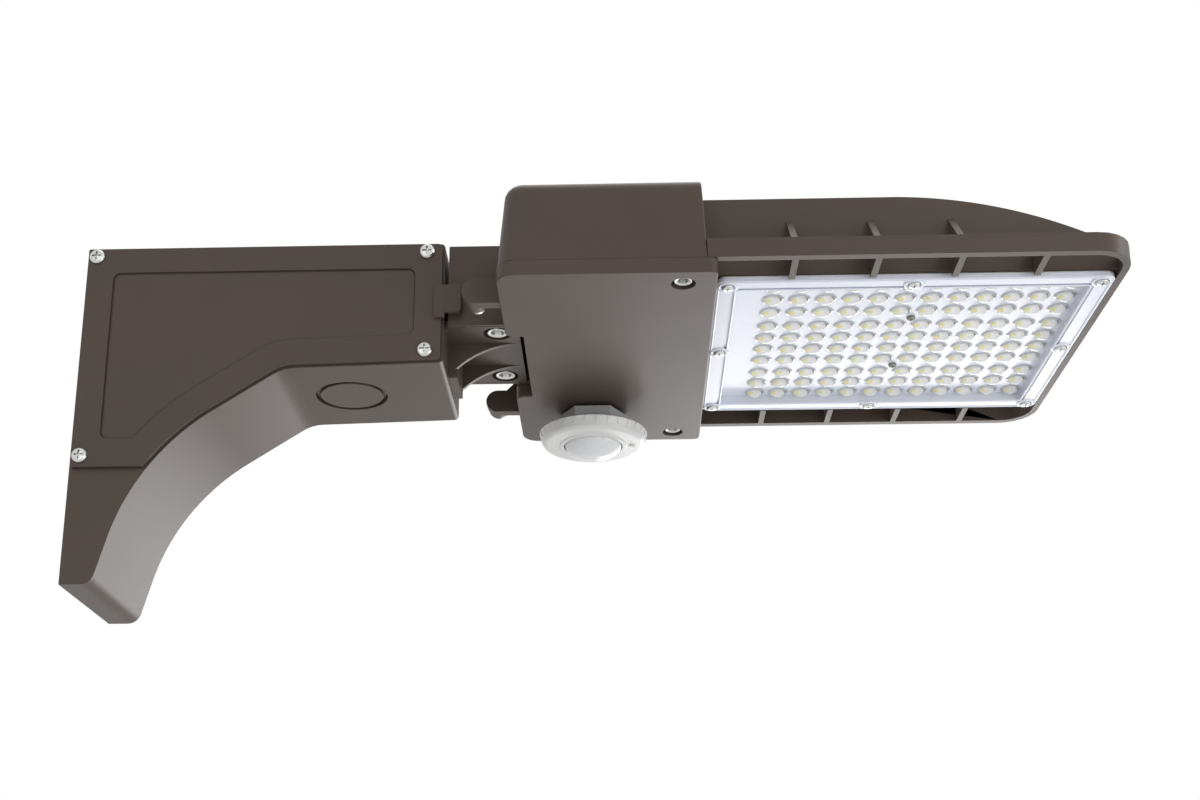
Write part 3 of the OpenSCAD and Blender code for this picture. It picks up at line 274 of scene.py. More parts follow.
class CoatSettings(bpy.types.PropertyGroup):
    """Bronze powder coat of the castings, and how their edges are rounded."""

    colour: StringProperty(name="Coat colour", description="sRGB hex colour of the coat", default="#4b4039")
    grain: FloatProperty(
        name="Grain", description="Size of the coat's orange peel", default=0.9 * MM, unit="LENGTH"
    )
    edge: FloatProperty(
        name="Edge radius", description="Radius of the castings' edges", default=0.7 * MM, unit="LENGTH"
    )
    sheet_edge: FloatProperty(
        name="Thin edge radius",
        description="Radius of edges on thin pieces",
        default=0.35 * MM,
        unit="LENGTH",
    )
    wide_edge: FloatProperty(
        name="Wide edge radius",
        description="Radius of the long edges of the arm and the door",
        default=1.5 * MM,
        unit="LENGTH",
    )
    press_slope: FloatProperty(
        name="Press slope",
        description="Width of the sloping border of the cover's pressed panel",
        default=2.8 * MM,
        unit="LENGTH",
    )
    press_lip: FloatProperty(
        name="Press lip",
        description="Depth at which the sloping border starts",
        default=0.15 * MM,
        unit="LENGTH",
    )


class LensSettings(bpy.types.PropertyGroup):
    """Lens panel over the LEDs, with its clear optics."""

    tint: StringProperty(name="Tint", description="sRGB hex colour of the panel", default="#dadee8")
    steps: IntProperty(name="Facets", description="Facets round an optic", default=28)
    field: FloatProperty(
        name="Field height",
        description="Height of the face that the optics stand on",
        default=24 * MM,
        unit="LENGTH",
    )
    optic: FloatProperty(
        name="Optic radius", description="Radius of an optic at its foot", default=6 * MM, unit="LENGTH"
    )
    rise: FloatProperty(
        name="Optic height", description="Height of an optic", default=4 * MM, unit="LENGTH"
    )
    corner: FloatProperty(
        name="Rim corner", description="Radius of the rim's corners", default=6 * MM, unit="LENGTH"
    )


class StageSettings(bpy.types.PropertyGroup):
    """Camera and floor."""

    place: FloatVectorProperty(
        name="Camera place",
        description="Where the camera stands",
        default=(0.3554, -0.9905, -0.425),
        subtype="TRANSLATION",
        unit="LENGTH",
    )
    pitch: FloatProperty(
        name="Pitch", description="How far the camera looks up", default=0.2782, subtype="ANGLE"
    )
    turn: FloatProperty(
        name="Turn", description="How far the camera looks to the left", default=0.0342, subtype="ANGLE"
    )
    focal: FloatProperty(name="Focal length", description="In millimetres", default=47.35)
    shift_x: FloatProperty(name="Shift X", description="Sideways shift of the lens", default=0.0221)
    shift_y: FloatProperty(name="Shift Y", description="Upward shift of the lens", default=0.15)
    floor_drop: FloatProperty(
        name="Floor height",
        description="Height of the floor, from midway between the pole bolts",
        default=-0.8,
        unit="LENGTH",
    )
    floor_white: FloatProperty(
        name="Floor white",
        description="Share of plain white in the floor as the camera sees it",
        default=0.85,
    )
    floor_size: FloatProperty(
        name="Floor size", description="Half the floor's width", default=40.0, unit="LENGTH"
    )


# Finishes


def powder_coat():
    """Polyester powder coat, sprayed and baked: satin, its orange peel breaks up the highlights."""
    coat = bpy.context.scene.light_coat
    material, tree, shader = new_material(
        "powder_coat_bronze",
        {"Roughness": 0.44, "IOR": 1.5, "Specular IOR Level": 0.3},
    )
    place = add_node(tree, "ShaderNodeTexCoord").outputs["Object"]
    # Pigment drifts by a few percent over a hand's width, 83 mm, which is 12 to the metre
    drift = add_node(
        tree, "ShaderNodeTexNoise", {"Scale": 12.0, "Detail": 3.0, "Roughness": 0.6}, {"Vector": place}
    )
    ramp = add_node(tree, "ShaderNodeValToRGB", links={"Fac": drift.outputs["Fac"]})
    for element, colour in zip(ramp.color_ramp.elements, tints(coat.colour, 0.94, 1.07)):
        element.color = colour
    ramp.color_ramp.elements[0].position = 0.3
    ramp.color_ramp.elements[1].position = 0.7
    tree.links.new(ramp.outputs["Color"], shader.inputs["Base Color"])
    # The peel, near a millimetre across, and a grit of a third of it, drawn coarser than the
    # real one so that it shows
    peel = add_node(
        tree, "ShaderNodeTexNoise", {"Scale": 1 / coat.grain, "Detail": 2.0}, {"Vector": place}
    )
    grit = add_node(
        tree, "ShaderNodeTexNoise", {"Scale": 3 / coat.grain, "Detail": 1.0}, {"Vector": place}
    )
    both = add_node(
        tree,
        "ShaderNodeMix",
        {"Factor": 0.35},
        {"A": peel.outputs["Fac"], "B": grit.outputs["Fac"]},
    )
    bump = add_node(
        tree,
        "ShaderNodeBump",
        {"Strength": 0.5, "Distance": 0.06 * MM},
        {"Height": both.outputs["Result"]},
    )
    tree.links.new(bump.outputs["Normal"], shader.inputs["Normal"])
    return material


def bright_metal(name, hex_colour, roughness):
    """Turned, drawn or plated metal: its fine marks spread each highlight a little."""
    material, tree, shader = new_material(name, {"Metallic": 1.0, "Roughness": roughness})
    place = add_node(tree, "ShaderNodeTexCoord").outputs["Object"]
    # Marks 1.1 mm apart, 900 to the metre, coarser than the real ones so that they show
    cloud = add_node(tree, "ShaderNodeTexNoise", {"Scale": 900.0, "Detail": 2.0}, {"Vector": place})
    span = add_node(
        tree,
        "ShaderNodeMapRange",
        {"To Min": roughness - 0.07, "To Max": roughness + 0.09},
        {"Value": cloud.outputs["Fac"]},
    )
    tree.links.new(span.outputs["Result"], shader.inputs["Roughness"])
    ramp = add_node(tree, "ShaderNodeValToRGB", links={"Fac": cloud.outputs["Fac"]})
    for element, colour in zip(ramp.color_ramp.elements, tints(hex_colour, 0.9, 1.05)):
        element.color = colour
    tree.links.new(ramp.outputs["Color"], shader.inputs["Base Color"])
    return material


def moulded(name, hex_colour, roughness, grain_mm, depth_mm, **more):
    """Moulded plastic or rubber, or a cast, dipped or printed coat: one colour with a fine grain.

    The size and depth of the grain are in millimetres.
    """
    values = {"Roughness": roughness, "IOR": 1.5}
    values.update(more)
    material, tree, shader = new_material(name, values)
    place = add_node(tree, "ShaderNodeTexCoord").outputs["Object"]
    # The colour drifts faintly from patch to patch
    patch = 25 * MM
    drift = add_node(tree, "ShaderNodeTexNoise", {"Scale": 1 / patch, "Detail": 2.0}, {"Vector": place})
    ramp = add_node(tree, "ShaderNodeValToRGB", links={"Fac": drift.outputs["Fac"]})
    for element, colour in zip(ramp.color_ramp.elements, tints(hex_colour, 0.95, 1.03)):
        element.color = colour
    tree.links.new(ramp.outputs["Color"], shader.inputs["Base Color"])
    grain = add_node(
        tree, "ShaderNodeTexNoise", {"Scale": 1 / (grain_mm * MM), "Detail": 2.0}, {"Vector": place}
    )
    bump = add_node(
        tree,
        "ShaderNodeBump",
        {"Strength": 0.4, "Distance": depth_mm * MM},
        {"Height": grain.outputs["Fac"]},
    )
    tree.links.new(bump.outputs["Normal"], shader.inputs["Normal"])
    return material


# Castings


def pressed_cover(coat, finish):
    """The arm's side cover, its pressed panel reached by a sloping border."""
    shape = cad_shape("arm_cover")
    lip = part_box("arm_cover")[0][1] + coat.press_lip
    # The faces that look out to the side and lie deeper than the lip
    panel = [f for f in shape.faces if f.normal.y < -0.9 and f.calc_center_median().y > lip]
    rim = {v for f in panel for v in f.verts}
    bmesh.ops.inset_region(shape, faces=panel, thickness=coat.press_slope, use_even_offset=True)
    for vert in rim:
        vert.co.y = lip
    ease(shape, coat.sheet_edge)
    return finished(shape, "arm_cover", finish)


def two_edges(node, finish, coat, chosen):
    """A CAD node with its chosen long edges rounded widely and the others a little."""
    shape = cad_shape(node)
    ease(shape, coat.wide_edge, 3, LONG_EDGE_ANGLE, chosen)
    ease(shape, coat.sheet_edge, 2, LONG_EDGE_ANGLE)
    finished(shape, node, finish)


def door_edges():
    """Picks the edges round the door's face, away from the screws' and the sensor's bores."""
    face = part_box("driver_door")[0][2]
    bores = middles("door_screws") + [box_middle("sensor_base")]
    # The rim of each bore lies nearer to its middle than this
    bore_reach = 17 * MM

    def in_bore(point):
        return any((point.xy - bore.xy).length < bore_reach for bore in bores)

    def chosen(edge):
        ends = [v.co for v in edge.verts]
        return all(abs(end.z - face) < LEVEL for end in ends) and not any(map(in_bore, ends))

    return chosen


def arm_edges():
    """Picks the edges along the arm's two sides, where its outer faces meet them."""
    low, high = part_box("arm_bracket")
    # A point inside the arm, and the size of the screw bosses' small faces
    inside = Vector((0.1, 0, 0.04))
    small_face = 20 * MM * MM

    def outward(face, here):
        wide_wall = abs(face.normal.y) < 0.5 and face.calc_area() > small_face
        return wide_wall and face.normal.dot(here - inside) > 0

    def chosen(edge):
        one, two = (v.co for v in edge.verts)
        on_side = min(abs(one.y - low[1]), abs(one.y - high[1])) < LEVEL
        if not on_side or abs(one.y - two.y) >= LEVEL:
            return False
        return any(outward(face, (one + two) / 2) for face in edge.link_faces)

    return chosen


class OBJECT_OT_light_castings(bpy.types.Operator):
    """Ease and coat the castings: arm, saddle, housing, lamp head, door, cover and hook"""

    bl_idname = "object.light_castings"
    bl_label = "Castings"

    def execute(self, context):
        coat = context.scene.light_coat
        finish = powder_coat()
        for node in ("saddle", "housing", "lamp_head"):
            eased_copy(node, finish, coat.edge)
        for node in ("hang_hook", "knockout_plug"):
            eased_copy(node, finish, coat.sheet_edge)
        two_edges("driver_door", finish, coat, door_edges())
        two_edges("arm_bracket", finish, coat, arm_edges())
        pressed_cover(coat, finish)
        return {"FINISHED"}


# Screws

# Turns that lay a screw, modelled along Z with its head at the low end, along each axis
AXES = {
    "X": Matrix.Rotation(math.pi / 2, 4, "Y"),
    "Y": Matrix.Rotation(-math.pi / 2, 4, "X"),
    "-Y": Matrix.Rotation(math.pi / 2, 4, "X"),
    "Z": Matrix.Identity(4),
}

# Sides of a turned screw
SCREW_STEPS = 48

# Half length and half width of a cross's bars, as shares of the head's radius
CROSS_REACH_SHARE = 0.62
CROSS_HALF_SHARE = 0.13

# Height of the head's crown as a share of the head's height
CROWN_SHARE = 0.45


def cross(reach, half):
    """Outline of a cross recess, as a function of the turn."""

    def radius(turn):
        c = max(abs(math.cos(turn)), 1e-6)
        s = max(abs(math.sin(turn)), 1e-6)
        return max(min(reach / c, half / s), min(half / c, reach / s))

    return radius


def hexagon(half):
    """Outline of a hexagon socket with the given half width, as a function of the turn."""
    sixth = math.pi / 3
    return lambda turn: half / math.cos(turn % sixth - sixth / 2)


def scaled(outline, share):
    """The same outline, smaller."""
    return lambda turn: outline(turn) * share


def screw_profile(length, shank, head, wide, socket):
    """Profile of a screw from its tip to its recess, and the number of points before the recess.

    The socket is a hexagon's half width as a share of the head's radius. Without one, the head
    is domed and has a cross. Plain numbers are shares of the radii of shank and head, and of the
    head's height.
    """
    crown = head * CROWN_SHARE
    profile = [
        (0, length),
        (shank * 0.8, length),
        (shank, length - shank * 0.3),
        (shank, head),
        (wide, head),
        (wide, crown + head * 0.12),
        (wide * 0.985, crown),
    ]
    if socket:
        outline, mouth = hexagon(wide * socket), head * 0.08
        # A flat ring with a chamfer into the socket
        profile += [(wide * 0.9, 0.0), (wide * (socket + 0.2), 0.0)]
    else:
        outline, mouth = cross(wide * CROSS_REACH_SHARE, wide * CROSS_HALF_SHARE), 0.0
        # A low dome down to the rim of the cross
        for k in range(1, 5):
            turned = math.pi / 2 * k / 5
            profile.append((wide * (1 - 0.06 * k), crown * (1 - math.sin(turned)) + 0.04 * head))
    outside = len(profile)
    profile += [
        (outline, mouth),
        (scaled(outline, 0.93), head * 0.2),
        (scaled(outline, 0.8), head * 0.62),
        (0, head * 0.7),
    ]
    return profile, outside


def screws(node, axis, metals, shank, head, socket=None, share=1.0):
    """Turned screws in place of a CAD node's plain ones, each with its head and recess.

    The axis points from head to tip. The metals are the screw's and the painted shade of its
    recess. Places, lengths and head widths come from the CAD solids, and the share narrows the heads.
    """
    shape = bmesh.new()
    index = "XYZ".index(axis[-1])
    for low, high in islands(node):
        middle = (low + high) / 2
        middle[index] = high[index] if axis.startswith("-") else low[index]
        length = high[index] - low[index]
        wide = share * max((high - low)[i] for i in range(3) if i != index) / 2
        profile, outside = screw_profile(length, shank, head, wide, socket)
        faces = revolve(shape, profile, SCREW_STEPS, Matrix.Translation(middle) @ AXES[axis])
        # The recess's faces take the second metal, its painted shade
        for face in faces[(outside - 1) * SCREW_STEPS :]:
            face.material_index = 1
    bmesh.ops.recalc_face_normals(shape, faces=shape.faces)
    return finished(shape, node, metals, node + "_turned")


class OBJECT_OT_light_screws(bpy.types.Operator):
    """Turn the screws, bolts and hinge pins with their drive recesses"""

    bl_idname = "object.light_screws"
    bl_label = "Screws"

    def execute(self, context):
        # Electroplated zinc: bright silver rings round the heads
        zinc = bright_metal("bright_zinc_plate", "#c9cac8", 0.32)
        # The same plating, darkened as painted shade in the recesses so that they read dark
        recess_painted_shade = bright_metal("zinc_plate_painted_shade_in_recess", "#55575a", 0.5)
        # Drawn stainless steel behind the lens panel, darkened as painted shade: a small grey dot
        dark = bright_metal("stainless_steel_shaded", "#8d8a84", 0.4)
        # Drawn stainless steel: a softer, greyer shine than zinc
        steel = bright_metal("stainless_steel", "#b4b5b3", 0.34)
        # Green enamel dip, which marks the ground screw
        green = moulded("green_enamel", "#3f7d4c", 0.4, 0.8, 0.02)
        plated = [zinc, recess_painted_shade]
        screws("arm_cover_screws", "Y", plated, shank=2.5 * MM, head=3.0 * MM)
        screws("lens_screws", "Z", plated, shank=2.0 * MM, head=2.2 * MM)
        screws("board_screws", "Z", [dark, recess_painted_shade], shank=2.0 * MM, head=2.2 * MM, share=0.75)
        screws("driver_screws", "Z", plated, shank=2.0 * MM, head=2.6 * MM)
        screws("head_screws", "X", plated, shank=2.5 * MM, head=3.0 * MM)
        screws("saddle_bolts", "Z", plated, shank=4.0 * MM, head=4.2 * MM, socket=0.6)
        screws("door_screws", "Z", plated, shank=3.0 * MM, head=5.5 * MM, socket=0.56)
        screws("hinge_pins", "-Y", plated, shank=3.0 * MM, head=6.0 * MM, socket=0.45)
        screws("saddle_screws", "X", [steel, recess_painted_shade], shank=3.0 * MM, head=4.0 * MM, socket=0.45)
        screws("ground_screw", "Z", [green, recess_painted_shade], shank=2.5 * MM, head=3.5 * MM)
        return {"FINISHED"}


# Lens and LEDs

# Sides of a ridge's half round, and of a quarter turn at its corners
RIDGE_STEPS = 6

# Inset from the rim's edge and radius of each ridge
RIDGES = ((1.6 * MM, 0.7 * MM), (12.2 * MM, 0.6 * MM))

# Profile of the moulded ring round a lens screw, as radius and height in mm, and its sides
BOSS = ((4.1, 0), (4.4, -0.9), (5.4, -1.1), (6.4, -0.8), (6.8, 0), (5, 0.4))
BOSS_STEPS = 32


def ridge(shape, box, inset, radius, height, corner):
    """A half-round ridge round the panel's rim, inset from its box, standing below a height."""
    low, high = box
    x0, x1 = low[0] + inset + corner, high[0] - inset - corner
    y0, y1 = low[1] + inset + corner, high[1] - inset - corner
    path = []
    for quarter, (cx, cy) in enumerate(((x1, y1), (x0, y1), (x0, y0), (x1, y0))):
        for k in range(RIDGE_STEPS + 1):
            angle = math.pi / 2 * (quarter + k / RIDGE_STEPS)
            out = Vector((math.cos(angle), math.sin(angle), 0))
            path.append((Vector((cx, cy, height)) + corner * out, out))
    down = Vector((0, 0, -1))
    rings = []
    for point, out in path:
        turns = [math.pi * k / RIDGE_STEPS for k in range(RIDGE_STEPS + 1)]
        section = [point + radius * (math.cos(t) * out + math.sin(t) * down) for t in turns]
        rings.append([shape.verts.new(at) for at in section])
    for one, two in zip(rings, rings[1:] + rings[:1]):
        for k in range(RIDGE_STEPS):
            shape.faces.new((one[k], one[k + 1], two[k + 1], two[k]))
        shape.faces.new((one[0], two[0], two[-1], one[-1]))


class OBJECT_OT_light_lens(bpy.types.Operator):
    """Build the panel with its rim and clear optics, and finish the board, chips and gasket"""

    bl_idname = "object.light_lens"
    bl_label = "Lens and LEDs"

    def execute(self, context):
        lens = context.scene.light_lens
        chips = middles("led_chips")
        self.panel(lens, chips)
        self.optics(lens, chips)
        # Solder mask printed on the board: clean white with a slight gloss
        mask = moulded("white_solder_mask", "#f0f0ee", 0.3, 0.5, 0.01)
        eased_copy("led_board", mask, 0.2 * MM)
        # Phosphor cast over each chip: matt yellow
        phosphor = moulded("yellow_phosphor", "#f2d35c", 0.5, 0.3, 0.02)
        eased_copy("led_chips", phosphor, 0.1 * MM)
        # Moulded silicone: milky and soft
        silicone = moulded("white_silicone", "#dcdcd8", 0.55, 0.6, 0.02)
        eased_copy("lens_gasket", silicone, 0.2 * MM)
        return {"FINISHED"}

    def panel(self, lens, chips):
        """The panel without its optics, with ridges and screw bosses on the rim."""
        shape = welded("lens_panel")
        # The solid's plain domes stand out of the field, and come off
        outside = lens.field - LEVEL / 2
        domes = [
            v
            for v in shape.verts
            if v.co.z < outside and any((v.co.xy - c.xy).length < lens.optic for c in chips)
        ]
        bmesh.ops.delete(shape, geom=domes, context="VERTS")
        open_edges = [e for e in shape.edges if e.is_boundary]
        bmesh.ops.holes_fill(shape, edges=open_edges)
        flatten(shape)
        bmesh.ops.recalc_face_normals(shape, faces=shape.faces)
        ease(shape, 0.4 * MM)
        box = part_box("lens_panel")
        seam = box[0][2]
        # The corners tighten a little towards the field
        for inset, radius in RIDGES:
            ridge(shape, box, inset, radius, seam, lens.corner - inset * 0.35)
        boss = [(radius * MM, height * MM) for radius, height in BOSS]
        for screw in middles("lens_screws"):
            revolve(shape, boss, BOSS_STEPS, Matrix.Translation((screw.x, screw.y, seam)))
        # Polycarbonate moulded over the white board: pale, a little blue, with a soft shine
        pale = moulded("polycarbonate_moulded_pale", lens.tint, 0.24, 9.0, 0.05)
        finished(shape, "lens_panel", pale, "lens_panel_rimmed")

    def optics(self, lens, chips):
        """Clear optics over discs of painted light, emitter images and crescents of painted shade."""
        domes, optic_light_discs, spots, shade_crescents = bmesh.new(), bmesh.new(), bmesh.new(), bmesh.new()
        # The optics reach into the panel, so that no air lies under them
        root = 0.6 * MM
        profile = self.optic_profile(lens, root)
        for chip in chips:
            place = Matrix.Translation((chip.x, chip.y, lens.field + root))
            revolve(domes, profile, lens.steps, place)
            # A whiter disc of painted light under the optic
            self.disc(optic_light_discs, chip, 5.7 * MM, 0, lens.field - 0.02 * MM)
            self.disc(spots, chip, 1.8 * MM, -2.4 * MM, lens.field - 0.1 * MM)
            # A grey crescent of painted shade at the optic's far side
            self.crescent(shade_crescents, chip, lens)
        for shape in (domes, optic_light_discs, spots, shade_crescents):
            bmesh.ops.recalc_face_normals(shape, faces=shape.faces)
        # Clear polycarbonate from a polished mould: bright domes that bend what lies behind them
        glass_like = {"Transmission Weight": 1.0, "IOR": 1.58}
        clear = moulded("polycarbonate_optic_clear", "#ffffff", 0.03, 9.0, 0.005, **glass_like)
        finished(domes, "lens_panel", clear, "optics_clear", replaces=False)
        # Painted light: a disc whiter than the panel under each optic, which fills it with white
        white = moulded("optic_painted_light_white", "#ffffff", 0.5, 0.3, 0.01)
        finished(optic_light_discs, "led_board", white, "optic_painted_light_discs", replaces=False)
        # The phosphor as the optic shows it: a pale yellow spot to one side
        yellow = moulded("phosphor_seen_in_optic", "#fff7b4", 0.5, 0.3, 0.01)
        finished(spots, "led_chips", yellow, "optic_emitters", replaces=False)
        # Painted shade: a grey crescent for the dark that an optic's steep wall shows from below
        grey = moulded("optic_painted_shade_crescent", "#a9abae", 0.4, 0.5, 0.01)
        finished(shade_crescents, "lens_panel", grey, "optic_painted_shade_crescents", replaces=False)

    def optic_profile(self, lens, root):
        """An optic's profile: root, flange and a cap that is part of a sphere."""
        radius, rise = lens.optic, lens.rise
        # The flange's reach and thickness, at its edge and inside its chamfer
        edge_reach, edge_thick = radius * 1.2, 0.3 * MM
        flat_reach, flat_thick = radius * 1.12, 0.5 * MM
        profile = [
            (0, 0),
            (edge_reach, 0),
            (edge_reach, -root - edge_thick),
            (flat_reach, -root - flat_thick),
            (radius, -root - flat_thick),
        ]
        sphere = (radius * radius + rise * rise) / (2 * rise)
        arc = math.asin(radius / sphere)
        rings = 8
        for k in range(1, rings):
            angle = arc * (1 - k / rings)
            drop = sphere * math.cos(angle) - sphere + rise
            profile.append((sphere * math.sin(angle), -root - drop))
        profile.append((0, -root - rise))
        return profile

    def disc(self, shape, chip, radius, shift, height):
        """A thin disc on the field, shifted along the light from the optic's middle."""
        steps, thick = 20, 0.06 * MM
        profile = [(0, thick), (radius, thick), (radius, 0), (0, 0)]
        revolve(shape, profile, steps, Matrix.Translation((chip.x + shift, chip.y, height)))

    def crescent(self, shape, chip, lens):
        """A thin grey sheet at an optic's far side: painted shade for its steep wall's dark crescent."""
        steps = 8
        half_turn, half_taper = math.radians(52), math.radians(80)
        half_width, thick = 0.9 * MM, 0.12 * MM
        corners = ((-1, 0.0), (1, 0.0), (1, -thick), (-1, -thick))
        rings = []
        for k in range(steps + 1):
            share = 2 * k / steps - 1
            turn = half_turn * share
            wide = half_width * math.cos(half_taper * share)
            out = Vector((math.cos(turn), math.sin(turn), 0))
            middle = Vector((chip.x, chip.y, lens.field)) + out * (lens.optic * 0.8)
            section = [middle + out * side * wide + Vector((0, 0, z)) for side, z in corners]
            rings.append([shape.verts.new(at) for at in section])
        for one, two in zip(rings, rings[1:]):
            for k in range(4):
                shape.faces.new((one[k], one[(k + 1) % 4], two[(k + 1) % 4], two[k]))
        shape.faces.new(rings[0])
        shape.faces.new(list(reversed(rings[-1])))


# Sensor


class OBJECT_OT_light_sensor(bpy.types.Operator):
    """Finish the sensor: base, locknut, cap, dome and board"""

    bl_idname = "object.light_sensor"
    bl_label = "Sensor"

    def execute(self, context):
        # Grey ABS from a polished mould: crisp pale facets on the hexagon
        grey = moulded("grey_abs_moulded", "#a4a6a7", 0.34, 0.7, 0.03)
        # Off-white ABS, moulded: a soft even shell
        pale = moulded("pale_abs_moulded", "#cdcdcc", 0.28, 0.7, 0.015)
        # Solder mask on glass fibre: green with a slight gloss
        board = moulded("green_circuit_board", "#3c6b49", 0.35, 0.4, 0.01)
        eased_copy("sensor_base", grey, 0.4 * MM)
        eased_copy("sensor_locknut", grey, 0.4 * MM)
        eased_copy("sensor_cap", pale, 0.3 * MM)
        self.pointer(pale)
        self.dome()
        eased_copy("sensor_board", board, 0.2 * MM)
        return {"FINISHED"}

    def pointer(self, material):
        """A small raised arrow on the cap's face, towards the lamp head."""
        middle = box_middle("sensor_cap")
        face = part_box("sensor_cap")[0][2]
        low_end, high_end = face - 0.45 * MM, face + 0.45 * MM
        tip, back, half = 31 * MM, 26.5 * MM, 2.2 * MM
        corners = [Vector((tip, 0, 0)), Vector((back, half, 0)), Vector((back, -half, 0))]
        # The arrow narrows towards its face, like a moulded mark
        draft = Matrix.Diagonal((0.97, 0.8, 1.0))
        here = Vector((middle.x, middle.y, 0))
        lower = [here + draft @ at + Vector((0, 0, low_end)) for at in corners]
        upper = [here + at + Vector((0, 0, high_end)) for at in corners]
        shape = bmesh.new()
        lower, upper = ([shape.verts.new(at) for at in ring] for ring in (lower, upper))
        shape.faces.new(lower)
        shape.faces.new(list(reversed(upper)))
        for k in range(3):
            n = (k + 1) % 3
            shape.faces.new((lower[k], upper[k], upper[n], lower[n]))
        bmesh.ops.recalc_face_normals(shape, faces=shape.faces)
        finished(shape, "sensor_cap", material, "sensor_pointer", replaces=False)

    def dome(self):
        """The sensing dome, its skin moulded in faint facets."""
        low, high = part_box("sensor_dome")
        middle = box_middle("sensor_dome")
        radius = (high[0] - low[0]) / 2
        tall = high[2] - low[2]
        collar = tall * 0.1
        rings, steps, fullness = 8, 28, 0.8
        profile = [(0, 0), (radius, 0), (radius, -collar)]
        for k in range(1, rings):
            angle = math.pi / 2 * k / rings
            height = collar + (tall - collar) * math.sin(angle)
            profile.append((radius * math.cos(angle) ** fullness, -height))
        profile.append((0, -tall))
        shape = bmesh.new()
        revolve(shape, profile, steps, Matrix.Translation((middle.x, middle.y, high[2])))
        bmesh.ops.recalc_face_normals(shape, faces=shape.faces)
        ease(shape, 0.25 * MM, 1, math.radians(4))
        # Milky polyethylene, moulded thin: glossy, with small crisp reflections
        milky = moulded("white_polyethylene_dome", "#d3d4d5", 0.14, 1.2, 0.006)
        finished(shape, "sensor_dome", milky, "sensor_dome_faceted")


# Rubber and the driver box's contents


class OBJECT_OT_light_rubber(bpy.types.Operator):
    """Finish the gaskets and bushings"""

    bl_idname = "object.light_rubber"
    bl_label = "Rubber"

    def execute(self, context):
        # EPDM rubber, moulded: matt black lines in the joints
        rubber = moulded("black_epdm_rubber", "#232324", 0.68, 0.8, 0.04)
        nodes = (
            "arm_gasket",
            "entry_grommet",
            "outlet_grommet",
            "neck_grommet",
            "door_gasket",
            "sensor_seal",
        )
        for node in nodes:
            eased_copy(node, rubber, 0.25 * MM)
        return {"FINISHED"}


class OBJECT_OT_light_electrics(bpy.types.Operator):
    """Finish what the driver box holds"""

    bl_idname = "object.light_electrics"
    bl_label = "Driver box contents"

    def execute(self, context):
        # Extruded aluminium: a pale satin case
        aluminium = bright_metal("aluminium_case", "#c7c9c6", 0.4)
        # Dark ABS, moulded: a blue-black case with a low shine
        dark = moulded("dark_abs_moulded", "#30343a", 0.45, 0.8, 0.03)
        # Natural nylon, moulded: a slightly waxy white
        nylon = moulded("pale_nylon_moulded", "#d9dad6", 0.4, 0.8, 0.03)
        eased_copy("led_driver", aluminium, 0.6 * MM)
        eased_copy("surge_protector", dark, 0.6 * MM)
        eased_copy("terminal_block", nylon, 0.3 * MM)
        return {"FINISHED"}


# Stage

# Name, place, aim, width and height in metres, and power in watts
LAMPS = (
    ("key", (1.8, -0.8, -1.0), (0.2, 0, -0.05), (1.7, 1.7), 28.0),
    ("rim", (0.72, 1.35, -0.2), (0.1, 0, -0.1), (0.8, 0.8), 7.5),
    ("side", (2.4, -0.1, 0.8), (0.3, 0, 0), (0.5, 1.2), 9.0),
    ("front", (1.3, -1.9, 0.3), (0.35, 0, 0), (0.25, 1.5), 5.0),
    ("front_left", (-0.4, -2.1, 0.1), (0.35, 0, 0), (0.25, 1.5), 3.0),
    ("top", (0.3, 0.6, 2.2), (0.3, 0, 0), (1.5, 1.5), 10.0),
)

# Light from all sides on the object
SKY_STRENGTH = 0.55


